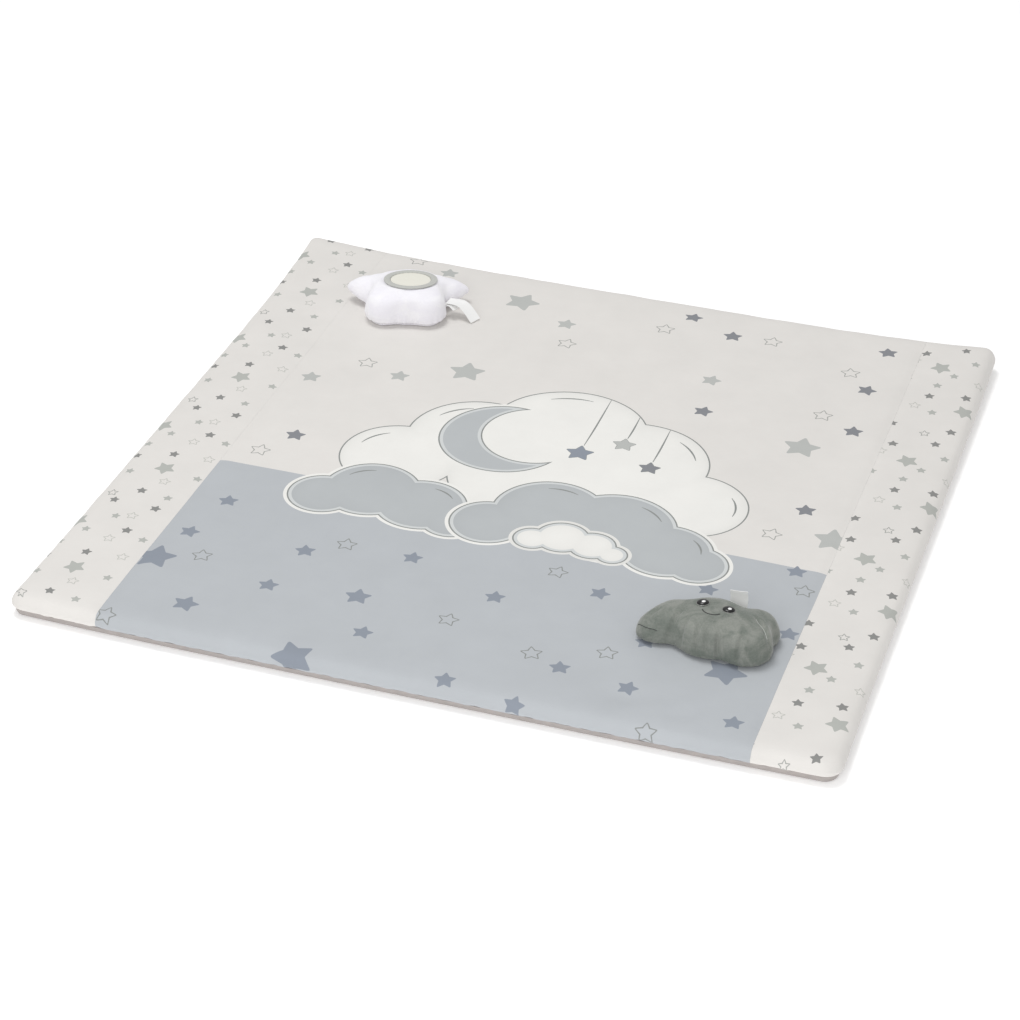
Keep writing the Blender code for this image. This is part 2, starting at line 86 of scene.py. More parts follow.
def add_node(tree: bpy.types.NodeTree, kind: str, settings: dict, links: dict) -> bpy.types.Node:
    """Add one node to a material's tree, with its settings and links.

    Args:
        tree: The material's node tree.
        kind: Blender's name of the node's type.
        settings: Values by input name, input number or property name.
        links: Output sockets by the name or number of the input that they feed.

    Returns:
        The new node.
    """
    node = tree.nodes.new(kind)
    for name, value in settings.items():
        if isinstance(name, int) or name in node.inputs:
            node.inputs[name].default_value = value
        else:
            setattr(node, name, value)
    for name, socket in links.items():
        tree.links.new(socket, node.inputs[name])
    return node


def new_material(name: str) -> tuple[bpy.types.Material, bpy.types.NodeTree, bpy.types.Node]:
    """Start a material that has only its Principled shader.

    Args:
        name: The finish's name.

    Returns:
        The material, its tree and its shader node.
    """
    material = bpy.data.materials.new(name)
    material.use_nodes = True
    tree = material.node_tree
    return material, tree, tree.nodes["Principled BSDF"]


def smooth_step(value: np.ndarray) -> np.ndarray:
    """Ease from 0 to 1 as the values go from 0 to 1."""
    value = np.clip(value, 0.0, 1.0)
    return value * value * (3.0 - 2.0 * value)


def wave_sum(along: np.ndarray, lengths: tuple[float, ...], seed: int) -> np.ndarray:
    """Add waves of several lengths with fixed chance phases, for folds that never repeat.

    Args:
        along: Places along the folds' row, in metres.
        lengths: The wave lengths in metres.
        seed: Picks the phases.

    Returns:
        A height from about -1 to 1 at each place.
    """
    draw = np.random.default_rng(seed)
    total = np.zeros_like(along)
    for length in lengths:
        total += np.sin(math.tau * along / length + draw.uniform(0.0, math.tau))
    return total / math.sqrt(2.0 * len(lengths))


def smooth_path(points: list, steps: int) -> list[Vector]:
    """Run a smooth curve through points.

    Args:
        points: The points that the curve passes through.
        steps: How many pieces each span gets.

    Returns:
        Points along the curve, both ends among them.
    """
    knots = [Vector(point) for point in points]
    padded = [knots[0] * 2.0 - knots[1]] + knots + [knots[-1] * 2.0 - knots[-2]]
    path = []
    for before, start, end, after in zip(padded, padded[1:], padded[2:], padded[3:]):
        for step in range(steps):
            t = step / steps
            path.append(0.5 * (2.0 * start + (end - before) * t
                               + (2.0 * before - 5.0 * start + 4.0 * end - after) * t ** 2
                               + (3.0 * start - before - 3.0 * end + after) * t ** 3))
    path.append(knots[-1])
    return path


def deselect_all() -> None:
    """Leave object mode's selection empty, as the loaded nodes are selected."""
    bpy.ops.object.select_all(action="DESELECT")


def activate(thing: bpy.types.Object) -> None:
    """Select one object alone and make it the active one."""
    deselect_all()
    thing.select_set(True)
    bpy.context.view_layer.objects.active = thing


def apply_modifier(thing: bpy.types.Object, kind: str, settings: dict) -> None:
    """Add a modifier to a piece and apply it at once.

    Args:
        thing: The piece.
        kind: Blender's name of the modifier's type.
        settings: Values by property name.
    """
    activate(thing)
    modifier = thing.modifiers.new(kind.lower(), kind)
    for name, value in settings.items():
        setattr(modifier, name, value)
    bpy.ops.object.modifier_apply(modifier=modifier.name)


def smooth_shaded(thing: bpy.types.Object, degrees: float) -> None:
    """Shade a piece smooth, with edges sharper than an angle kept crisp."""
    activate(thing)
    bpy.ops.object.shade_smooth_by_angle(angle=math.radians(degrees))


def settle(thing: bpy.types.Object) -> None:
    """Apply a piece's place, turn and scale to its mesh."""
    activate(thing)
    bpy.ops.object.transform_apply(location=True, rotation=True, scale=True)


def coordinates(mesh: bpy.types.Mesh) -> np.ndarray:
    """Read a mesh's points as rows of x, y and z."""
    values = np.zeros(len(mesh.vertices) * 3)
    mesh.vertices.foreach_get("co", values)
    return values.reshape(-1, 3)


def write_coordinates(mesh: bpy.types.Mesh, values: np.ndarray) -> None:
    """Write rows of x, y and z back into a mesh."""
    mesh.vertices.foreach_set("co", values.ravel())
    mesh.update()


def surface_tree(thing: bpy.types.Object) -> BVHTree:
    """Build a search tree of a piece's faces."""
    mesh = thing.data
    return BVHTree.FromPolygons([v.co for v in mesh.vertices], [p.vertices for p in mesh.polygons])


# Finishes


class Ink(Enum):
    """The colours of the mat's printed cloths, in the order of a panel's material slots."""
    LIGHT_GROUND = "e3e0dc"
    BLUE_GROUND = "b9bdc1"
    LIGHT_GREY = "bbbdba"
    DARK_SLATE = "888a8f"
    SLATE_BLUE = "8e95a0"
    OUTLINE_GREY = "a9aaa6"
    MOTIF_WHITE = "efeeea"
    MOTIF_LINE = "8e918f"
    MOTIF_BAND = "d2d5d5"
    MOTIF_FILL = "b9bdbf"
    STRIP_DARK = "8d8d8b"
    STRIP_GREY = "b6b8b3"
    STRIP_OUTLINE = "c6c6c0"


@dataclass(frozen=True)
class PrintedMicrofibre:
    """Brushed polyester microfibre, printed with one ink: a matte face with a faint peach nap."""
    ink: Ink
    thread_spacing: float = 0.9 * MM
    mottle_size: float = 60.0 * MM
    shade_attribute: str = "soft_shade"

    def material(self) -> bpy.types.Material:
        """Make the cloth's material in this ink."""
        material, tree, shader = new_material(f"printed_microfibre_{self.ink.name.lower()}")
        place = add_node(tree, "ShaderNodeTexCoord", {}, {}).outputs["Object"]
        # The real threads are about 0.2 mm, too fine for the render, so they are drawn coarser
        thread_scale = 1.0 / (self.thread_spacing * math.pi)
        warp = add_node(tree, "ShaderNodeTexWave",
                        {"bands_direction": "X", "Scale": thread_scale, "Distortion": 0.6,
                         "Detail": 1.0}, {"Vector": place})
        weft = add_node(tree, "ShaderNodeTexWave",
                        {"bands_direction": "Y", "Scale": thread_scale, "Distortion": 0.6,
                         "Detail": 1.0}, {"Vector": place})
        weave = add_node(tree, "ShaderNodeMath", {"operation": "MAXIMUM"},
                         {0: warp.outputs["Fac"], 1: weft.outputs["Fac"]})
        mottle = add_node(tree, "ShaderNodeTexNoise",
                          {"Scale": 1.0 / self.mottle_size, "Detail": 4.0, "Roughness": 0.6},
                          {"Vector": place})
        mottle_range = add_node(tree, "ShaderNodeMapRange",
                                {"From Min": 0.3, "From Max": 0.7, "To Min": 0.975, "To Max": 1.02},
                                {"Value": mottle.outputs["Fac"]})
        shade = add_node(tree, "ShaderNodeAttribute", {"attribute_name": self.shade_attribute}, {})
        keep = add_node(tree, "ShaderNodeMath", {"operation": "SUBTRACT", 0: 1.0},
                        {1: shade.outputs["Fac"]})
        value = add_node(tree, "ShaderNodeMath", {"operation": "MULTIPLY"},
                         {0: mottle_range.outputs["Result"], 1: keep.outputs["Value"]})
        colour = add_node(tree, "ShaderNodeHueSaturation", {"Color": srgb(self.ink.value)},
                          {"Value": value.outputs["Value"]})
        tree.links.new(colour.outputs["Color"], shader.inputs["Base Color"])
        bump = add_node(tree, "ShaderNodeBump", {"Strength": 0.12, "Distance": 0.1 * MM},
                        {"Height": weave.outputs["Value"]})
        tree.links.new(bump.outputs["Normal"], shader.inputs["Normal"])
        shader.inputs["Roughness"].default_value = 0.72
        shader.inputs["Specular IOR Level"].default_value = 0.35
        shader.inputs["Sheen Weight"].default_value = 0.12
        shader.inputs["Sheen Roughness"].default_value = 0.4
        return material


@dataclass(frozen=True)
class WovenBackCloth:
    """Plain-woven taupe polyester cotton: visible crossing threads and a dull face."""
    colour: str = "aea7a4"
    thread_spacing: float = 1.0 * MM

    def material(self) -> bpy.types.Material:
        """Make the back cloth's material."""
        material, tree, shader = new_material("woven_taupe_polycotton")
        place = add_node(tree, "ShaderNodeTexCoord", {}, {}).outputs["Object"]
        thread_scale = 1.0 / (self.thread_spacing * math.pi)
        warp = add_node(tree, "ShaderNodeTexWave",
                        {"bands_direction": "X", "Scale": thread_scale, "Distortion": 1.2}, {"Vector": place})
        weft = add_node(tree, "ShaderNodeTexWave",
                        {"bands_direction": "Y", "Scale": thread_scale, "Distortion": 1.2}, {"Vector": place})
        weave = add_node(tree, "ShaderNodeMath", {"operation": "MULTIPLY"},
                         {0: warp.outputs["Fac"], 1: weft.outputs["Fac"]})
        slub = add_node(tree, "ShaderNodeTexNoise", {"Scale": 1.0 / (14.0 * MM), "Detail": 6.0},
                        {"Vector": place})
        blend = add_node(tree, "ShaderNodeMath", {"operation": "MULTIPLY_ADD", 1: 0.18},
                         {0: weave.outputs["Value"], 2: slub.outputs["Fac"]})
        value = add_node(tree, "ShaderNodeMapRange",
                         {"From Min": 0.3, "From Max": 0.9, "To Min": 0.90, "To Max": 1.06},
                         {"Value": blend.outputs["Value"]})
        colour = add_node(tree, "ShaderNodeHueSaturation", {"Color": srgb(self.colour)},
                          {"Value": value.outputs["Result"]})
        tree.links.new(colour.outputs["Color"], shader.inputs["Base Color"])
        bump = add_node(tree, "ShaderNodeBump", {"Strength": 0.3, "Distance": 0.15 * MM},
                        {"Height": weave.outputs["Value"]})
        tree.links.new(bump.outputs["Normal"], shader.inputs["Normal"])
        shader.inputs["Roughness"].default_value = 0.85
        shader.inputs["Sheen Weight"].default_value = 0.1
        return material


@dataclass(frozen=True)
class ShortPilePlush:
    """Knitted polyester plush with a 2 mm pile: soft tufts, brushed patches and a pale sheen."""
    name: str
    colour: str
    shade: str
    sheen: float
    tuft_size: float = 2.2 * MM
    patch_size: float = 26.0 * MM

    def material(self) -> bpy.types.Material:
        """Make this plush's material."""
        material, tree, shader = new_material(self.name)
        place = add_node(tree, "ShaderNodeTexCoord", {}, {}).outputs["Object"]
        tufts = add_node(tree, "ShaderNodeTexNoise",
                         {"Scale": 1.0 / self.tuft_size, "Detail": 5.0, "Roughness": 0.7, "Distortion": 0.4},
                         {"Vector": place})
        patches = add_node(tree, "ShaderNodeTexNoise",
                           {"Scale": 1.0 / self.patch_size, "Detail": 3.0, "Distortion": 1.1},
                           {"Vector": place})
        tuft_tone = add_node(tree, "ShaderNodeMapRange",
                             {"From Min": 0.3, "From Max": 0.7, "To Min": 0.0, "To Max": 0.45},
                             {"Value": tufts.outputs["Fac"]})
        patch_tone = add_node(tree, "ShaderNodeMapRange",
                              {"From Min": 0.38, "From Max": 0.62, "To Min": 0.0, "To Max": 0.60},
                              {"Value": patches.outputs["Fac"]})
        tone = add_node(tree, "ShaderNodeMath", {"operation": "ADD"},
                        {0: tuft_tone.outputs["Result"], 1: patch_tone.outputs["Result"]})
        colour = add_node(tree, "ShaderNodeMix",
                          {"data_type": "RGBA", 6: srgb(self.colour), 7: srgb(self.shade)},
                          {0: tone.outputs["Value"]})
        tree.links.new(colour.outputs[2], shader.inputs["Base Color"])
        bump = add_node(tree, "ShaderNodeBump", {"Strength": 0.55, "Distance": 0.8 * MM},
                        {"Height": tufts.outputs["Fac"]})
        tree.links.new(bump.outputs["Normal"], shader.inputs["Normal"])
        shader.inputs["Roughness"].default_value = 0.95
        shader.inputs["Specular IOR Level"].default_value = 0.2
        shader.inputs["Sheen Weight"].default_value = self.sheen
        shader.inputs["Sheen Roughness"].default_value = 0.35
        return material


@dataclass(frozen=True)
class TrimCloth:
    """Woven bias tape: smooth, with fine ribs across it."""
    colour: str = "c2c3be"
    rib_spacing: float = 1.1 * MM

    def material(self) -> bpy.types.Material:
        """Make the trim's material."""
        material, tree, shader = new_material("woven_bias_tape_grey")
        place = add_node(tree, "ShaderNodeTexCoord", {}, {}).outputs["Object"]
        ribs = add_node(tree, "ShaderNodeTexWave",
                        {"bands_direction": "DIAGONAL", "Scale": 1.0 / (self.rib_spacing * math.pi),
                         "Distortion": 0.8}, {"Vector": place})
        value = add_node(tree, "ShaderNodeMapRange", {"To Min": 0.92, "To Max": 1.05},
                         {"Value": ribs.outputs["Fac"]})
        colour = add_node(tree, "ShaderNodeHueSaturation", {"Color": srgb(self.colour)},
                          {"Value": value.outputs["Result"]})
        tree.links.new(colour.outputs["Color"], shader.inputs["Base Color"])
        bump = add_node(tree, "ShaderNodeBump", {"Strength": 0.3, "Distance": 0.15 * MM},
                        {"Height": ribs.outputs["Fac"]})
        tree.links.new(bump.outputs["Normal"], shader.inputs["Normal"])
        shader.inputs["Roughness"].default_value = 0.7
        shader.inputs["Sheen Weight"].default_value = 0.2
        return material


@dataclass(frozen=True)
class MirrorFoil:
    """Metallised polyester film on foam, slightly warm, with soft ripples. Its brightness is mostly a near-white
    base colour with little metal: a painted reflection of the white studio.
    """
    colour: str = "fcfaee"
    ripple_size: float = 18.0 * MM

    def material(self) -> bpy.types.Material:
        """Make the mirror's material."""
        material, tree, shader = new_material("metallised_film_mirror")
        place = add_node(tree, "ShaderNodeTexCoord", {}, {}).outputs["Object"]
        ripple = add_node(tree, "ShaderNodeTexNoise", {"Scale": 1.0 / self.ripple_size, "Detail": 2.0},
                          {"Vector": place})
        bump = add_node(tree, "ShaderNodeBump", {"Strength": 0.35, "Distance": 0.5 * MM},
                        {"Height": ripple.outputs["Fac"]})
        tree.links.new(bump.outputs["Normal"], shader.inputs["Normal"])
        haze = add_node(tree, "ShaderNodeMapRange", {"To Min": 0.16, "To Max": 0.3},
                        {"Value": ripple.outputs["Fac"]})
        tree.links.new(haze.outputs["Result"], shader.inputs["Roughness"])
        # The near-white base colour with only a little metal is a painted reflection of the white studio
        shader.inputs["Base Color"].default_value = srgb(self.colour)
        shader.inputs["Metallic"].default_value = 0.2
        return material


@dataclass(frozen=True)
class SatinRibbon:
    """Woven polyester satin ribbon: white, with long floats that give a soft gloss."""
    colour: str = "f8f8f7"
    thread_spacing: float = 0.5 * MM

    def material(self) -> bpy.types.Material:
        """Make the ribbon's material."""
        material, tree, shader = new_material("satin_ribbon_white")
        place = add_node(tree, "ShaderNodeTexCoord", {}, {}).outputs["Object"]
        floats = add_node(tree, "ShaderNodeTexWave",
                          {"bands_direction": "DIAGONAL",
                           "Scale": 1.0 / (self.thread_spacing * math.pi), "Distortion": 0.5},
                          {"Vector": place})
        value = add_node(tree, "ShaderNodeMapRange", {"To Min": 0.96, "To Max": 1.0},
                         {"Value": floats.outputs["Fac"]})
        colour = add_node(tree, "ShaderNodeHueSaturation", {"Color": srgb(self.colour)},
                          {"Value": value.outputs["Result"]})
        tree.links.new(colour.outputs["Color"], shader.inputs["Base Color"])
        bump = add_node(tree, "ShaderNodeBump", {"Strength": 0.15, "Distance": 0.08 * MM},
                        {"Height": floats.outputs["Fac"]})
        tree.links.new(bump.outputs["Normal"], shader.inputs["Normal"])
        shader.inputs["Roughness"].default_value = 0.42
        shader.inputs["Sheen Weight"].default_value = 0.15
        return material


@dataclass(frozen=True)
class GlossyPlastic:
    """Injection-moulded ABS with a polished face, as sewn-on toy eyes have. In white it also makes the eyes' glints,
    a painted highlight.
    """
    name: str
    colour: str
    roughness: float = 0.28

    def material(self) -> bpy.types.Material:
        """Make this plastic's material, with the faint haze of handling."""
        material, tree, shader = new_material(self.name)
        place = add_node(tree, "ShaderNodeTexCoord", {}, {}).outputs["Object"]
        haze = add_node(tree, "ShaderNodeTexNoise", {"Scale": 1.0 / (2.0 * MM), "Detail": 3.0},
                        {"Vector": place})
        rough = add_node(tree, "ShaderNodeMapRange",
                         {"To Min": self.roughness * 0.8, "To Max": self.roughness * 1.6},
                         {"Value": haze.outputs["Fac"]})
        tree.links.new(rough.outputs["Result"], shader.inputs["Roughness"])
        shader.inputs["Base Color"].default_value = srgb(self.colour)
        shader.inputs["Coat Weight"].default_value = 0.15
        shader.inputs["Coat Roughness"].default_value = 0.05
        return material


@dataclass(frozen=True)
class SpunThread:
    """Twisted polyester sewing thread: fine slanting strands."""
    name: str
    colour: str
    strand_spacing: float = 0.5 * MM

    def material(self) -> bpy.types.Material:
        """Make this thread's material."""
        material, tree, shader = new_material(self.name)
        place = add_node(tree, "ShaderNodeTexCoord", {}, {}).outputs["Object"]
        strands = add_node(tree, "ShaderNodeTexWave",
                           {"bands_direction": "DIAGONAL", "Scale": 1.0 / (self.strand_spacing * math.pi)},
                           {"Vector": place})
        value = add_node(tree, "ShaderNodeMapRange", {"To Min": 0.8, "To Max": 1.1},
                         {"Value": strands.outputs["Fac"]})
        colour = add_node(tree, "ShaderNodeHueSaturation", {"Color": srgb(self.colour)},
                          {"Value": value.outputs["Result"]})
        tree.links.new(colour.outputs["Color"], shader.inputs["Base Color"])
        shader.inputs["Roughness"].default_value = 0.6
        return material


@dataclass(frozen=True)
class StudioPaper:
    """Seamless white paper under the object."""
    colour: str = "fbfbfb"
    glow: float = 0.22

    def material(self) -> bpy.types.Material:
        """Make the floor's material."""
        material, _, shader = new_material("seamless_white_paper")
        shader.inputs["Base Color"].default_value = srgb(self.colour)
        shader.inputs["Roughness"].default_value = 0.9
        shader.inputs["Emission Color"].default_value = srgb(self.colour)
        shader.inputs["Emission Strength"].default_value = self.glow
        return material


# The print


class ChartedStar(NamedTuple):
    """One printed star on the chart: its middle, its width and its turn in degrees."""
    x: float
    y: float
    width: float
    turn: float


class Puff(NamedTuple):
    """One round of a printed cloud, in millimetres on the cloth."""
    x: float
    y: float
    radius: float


class Curl(NamedTuple):
    """A short curved stroke inside a round: its centre, radius and ends in degrees."""
    x: float
    y: float
    radius: float
    start: float
    end: float


@dataclass
class CloudMotif:
    """A printed cloud: rounds that merge over a flat base line."""
    puffs: tuple[Puff, ...]
    base: float
    steps: int = 72

    def outlines(self, grow: float) -> list[list[tuple[float, float]]]:
        """Give the outline of each round, grown by some millimetres.

        Args:
            grow: How much wider than drawn, in millimetres.

        Returns:
            One closed outline for each round, in metres.
        """
        shapes = []
        for puff in self.puffs:
            outline = []
            for step in range(self.steps):
                angle = math.tau * step / self.steps
                x = puff.x + (puff.radius + grow) * math.cos(angle)
                y = puff.y + (puff.radius + grow) * math.sin(angle)
                outline.append((x * MM, max(y, self.base - grow) * MM))
            shapes.append(outline)
        return shapes

    def depth(self, cloth: np.ndarray) -> np.ndarray:
        """Give how deep inside the cloud places on the cloth lie, in metres."""
        depths = []
        for puff in self.puffs:
            away = np.hypot(cloth[:, 0] - puff.x * MM, cloth[:, 1] - puff.y * MM)
            depths.append(puff.radius * MM - away)
        return np.max(depths, axis=0)


@dataclass
class PrintedShape:
    """One shape of the print: its outline, its ink and the cloud that it shades softly, if any."""
    outline: list[tuple[float, float]]
    ink: Ink
    shaded: CloudMotif | None = None


def star_outline(star: ChartedStar, grow: float = 0.0) -> list[tuple[float, float]]:
    """Draw a plump five-pointed star with slightly rounded tips.

    Args:
        star: Its middle, width and turn, in metres and degrees.
        grow: How much further out than the star each point lies, in metres.

    Returns:
        The closed outline, counter-clockwise.
    """
    tip_radius = star.width / 1.86 + grow
    waist_radius = (star.width / 1.86) * 0.53 + grow * 0.8
    tip_round = 0.20
    outline = []
    for point in range(5):
        angle = math.radians(star.turn + 90.0 + 72.0 * point)
        waist = [Vector((math.cos(angle + side), math.sin(angle + side))) * waist_radius
                 for side in (-math.pi / 5.0, math.pi / 5.0)]
        tip = Vector((math.cos(angle), math.sin(angle))) * tip_radius
        before = tip.lerp(waist[0], tip_round)
        after = tip.lerp(waist[1], tip_round)
        blunt = tip * 0.93
        outline += [before, before.lerp(blunt, 0.75), after.lerp(blunt, 0.75), after, waist[1]]
    return [(star.x + point.x, star.y + point.y) for point in outline]


def stroke_outline(points: list, width: float) -> list[tuple[float, float]]:
    """Draw a brush stroke that thins towards both ends.

    Args:
        points: Places that the stroke passes through, in metres.
        width: The stroke's width at its middle, in metres.

    Returns:
        The closed outline of the stroke.
    """
    path = smooth_path([(x, y, 0.0) for x, y in points], 8)
    left, right = [], []
    for index, point in enumerate(path):
        along = path[min(index + 1, len(path) - 1)] - path[max(index - 1, 0)]
        side = Vector((-along.y, along.x, 0.0)).normalized()
        share = index / (len(path) - 1)
        half = 0.5 * width * (0.35 + 0.65 * math.sin(math.pi * share))
        left.append(point + side * half)
        right.append(point - side * half)
    return [(point.x, point.y) for point in right + left[::-1]]


def crescent_outline(middle: tuple[float, float], radius: float, bite: tuple[float, float],
                     bite_radius: float, grow: float) -> list[tuple[float, float]]:
    """Draw a crescent moon: a round with a smaller round bitten out of it.

    Args:
        middle: The moon's middle, in millimetres.
        radius: Its radius.
        bite: The middle of the round that is bitten out.
        bite_radius: The radius of the bite.
        grow: How much wider than drawn, in millimetres.

    Returns:
        The closed outline, in metres.
    """
    outer, inner = radius + grow, bite_radius - grow
    between = Vector(bite) - Vector(middle)
    facing = math.atan2(between.y, between.x)
    distance = between.length
    half_outer = math.acos((outer ** 2 + distance ** 2 - inner ** 2) / (2.0 * outer * distance))
    half_inner = math.acos((inner ** 2 + distance ** 2 - outer ** 2) / (2.0 * inner * distance))
    steps = 60
    outline = []
    for step in range(steps):
        angle = facing + half_outer + (math.tau - 2.0 * half_outer) * step / steps
        outline.append((middle[0] + outer * math.cos(angle), middle[1] + outer * math.sin(angle)))
    for step in range(steps):
        angle = facing + math.pi + half_inner - 2.0 * half_inner * step / steps
        outline.append((bite[0] + inner * math.cos(angle), bite[1] + inner * math.sin(angle)))
    return [(x * MM, y * MM) for x, y in outline]


@dataclass
class NightSkyPicture:
    """The picture in the middle of the mat: plain clouds, a crescent moon and hanging stars."""
    back_cloud: CloudMotif = field(default_factory=lambda: CloudMotif(
        (Puff(-172.0, -40.0, 78.0), Puff(-95.0, 38.0, 92.0), Puff(10.0, 92.0, 104.0),
         Puff(112.0, 48.0, 96.0), Puff(205.0, -30.0, 74.0), Puff(20.0, -20.0, 130.0)), -165.0))
    left_cloud: CloudMotif = field(default_factory=lambda: CloudMotif(
        (Puff(-232.0, -158.0, 44.0), Puff(-178.0, -128.0, 62.0), Puff(-108.0, -142.0, 58.0),
         Puff(-62.0, -164.0, 38.0)), -202.0))
    right_cloud: CloudMotif = field(default_factory=lambda: CloudMotif(
        (Puff(-18.0, -152.0, 48.0), Puff(46.0, -104.0, 72.0), Puff(132.0, -112.0, 78.0),
         Puff(206.0, -142.0, 58.0), Puff(248.0, -160.0, 40.0)), -200.0))
    small_cloud: CloudMotif = field(default_factory=lambda: CloudMotif(
        (Puff(44.0, -168.0, 24.0), Puff(78.0, -154.0, 34.0), Puff(118.0, -160.0, 30.0),
         Puff(146.0, -172.0, 20.0)), -192.0))
    moon_middle: tuple[float, float] = (-62.0, 46.0)
    moon_radius: float = 84.0
    bite_middle: tuple[float, float] = (-26.0, 66.0)
    bite_radius: float = 68.0
    curl_arcs: tuple[Curl, ...] = (
        Curl(-95.0, 38.0, 74.0, 150.0, 112.0), Curl(10.0, 92.0, 86.0, 122.0, 84.0),
        Curl(112.0, 48.0, 78.0, 58.0, 22.0), Curl(205.0, -30.0, 57.0, 38.0, -8.0),
        Curl(-172.0, -40.0, 60.0, 165.0, 122.0), Curl(46.0, -104.0, 55.0, 108.0, 66.0),
        Curl(132.0, -112.0, 60.0, 72.0, 32.0), Curl(206.0, -142.0, 42.0, 54.0, 8.0),
        Curl(-178.0, -128.0, 45.0, 148.0, 102.0), Curl(-108.0, -142.0, 42.0, 84.0, 40.0),
    )
    line: float = 1.9
    band: float = 6.0
    rim: float = 4.5

    def cloud(self, motif: CloudMotif, fill: Ink, rim: bool) -> list[PrintedShape]:
        """Give the layers of one printed cloud, lowest first."""
        layers = [(0.0, Ink.MOTIF_LINE), (-self.line, fill)]
        if rim:
            layers = [(self.rim, Ink.MOTIF_WHITE), (0.0, Ink.MOTIF_LINE),
                      (-self.line, Ink.MOTIF_BAND), (-self.band, fill)]
        shapes = []
        for grow, ink in layers:
            shaded = motif if ink == fill else None
            shapes += [PrintedShape(outline, ink, shaded) for outline in motif.outlines(grow)]
        return shapes

    def moon(self) -> list[PrintedShape]:
        """Give the layers of the crescent moon, lowest first."""
        layers = ((self.rim, Ink.MOTIF_WHITE), (0.0, Ink.MOTIF_LINE),
                  (-self.line, Ink.MOTIF_BAND), (-self.band, Ink.MOTIF_FILL))
        return [PrintedShape(crescent_outline(self.moon_middle, self.moon_radius, self.bite_middle,
                                              self.bite_radius, grow), ink)
                for grow, ink in layers]

    def hanging_star(self, x: float, top: float, y: float, width: float, ink: Ink) -> list[PrintedShape]:
        """Give a star that hangs on a string from a height, in millimetres."""
        star = ChartedStar(x * MM, y * MM, width * MM, 6.0)
        string = stroke_outline([(x * MM, top * MM), ((x + 0.8) * MM, 0.5 * (top + y) * MM),
                                 (x * MM, (y + 0.40 * width) * MM)], 2.2 * MM)
        return [PrintedShape(string, Ink.MOTIF_LINE),
                PrintedShape(star_outline(star, 3.2 * MM), Ink.MOTIF_WHITE),
                PrintedShape(star_outline(star, 1.0 * MM), Ink.MOTIF_LINE),
                PrintedShape(star_outline(star, 0.0), ink)]

    def curls(self) -> list[PrintedShape]:
        """Give the short curved strokes that round the clouds off."""
        shapes = []
        for curl in self.curl_arcs:
            arc = []
            for share in (0.0, 0.25, 0.5, 0.75, 1.0):
                angle = math.radians(curl.start + (curl.end - curl.start) * share)
                arc.append(((curl.x + curl.radius * math.cos(angle)) * MM,
                            (curl.y + curl.radius * math.sin(angle)) * MM))
            shapes.append(PrintedShape(stroke_outline(arc, 2.6 * MM), Ink.MOTIF_LINE))
        return shapes

    def shapes(self) -> list[PrintedShape]:
        """Give the whole picture, lowest layer first."""
        picture = self.cloud(self.back_cloud, Ink.MOTIF_WHITE, False)
        picture += self.hanging_star(40.0, 190.0, 44.0, 36.0, Ink.SLATE_BLUE)
        picture += self.hanging_star(88.0, 160.0, 82.0, 30.0, Ink.LIGHT_GREY)
        picture += self.hanging_star(134.0, 140.0, 38.0, 28.0, Ink.DARK_SLATE)
        picture += self.moon()
        picture += self.cloud(self.left_cloud, Ink.MOTIF_FILL, True)
        picture += self.cloud(self.right_cloud, Ink.MOTIF_FILL, True)
        picture += self.cloud(self.small_cloud, Ink.MOTIF_WHITE, True)
        return picture + self.curls()


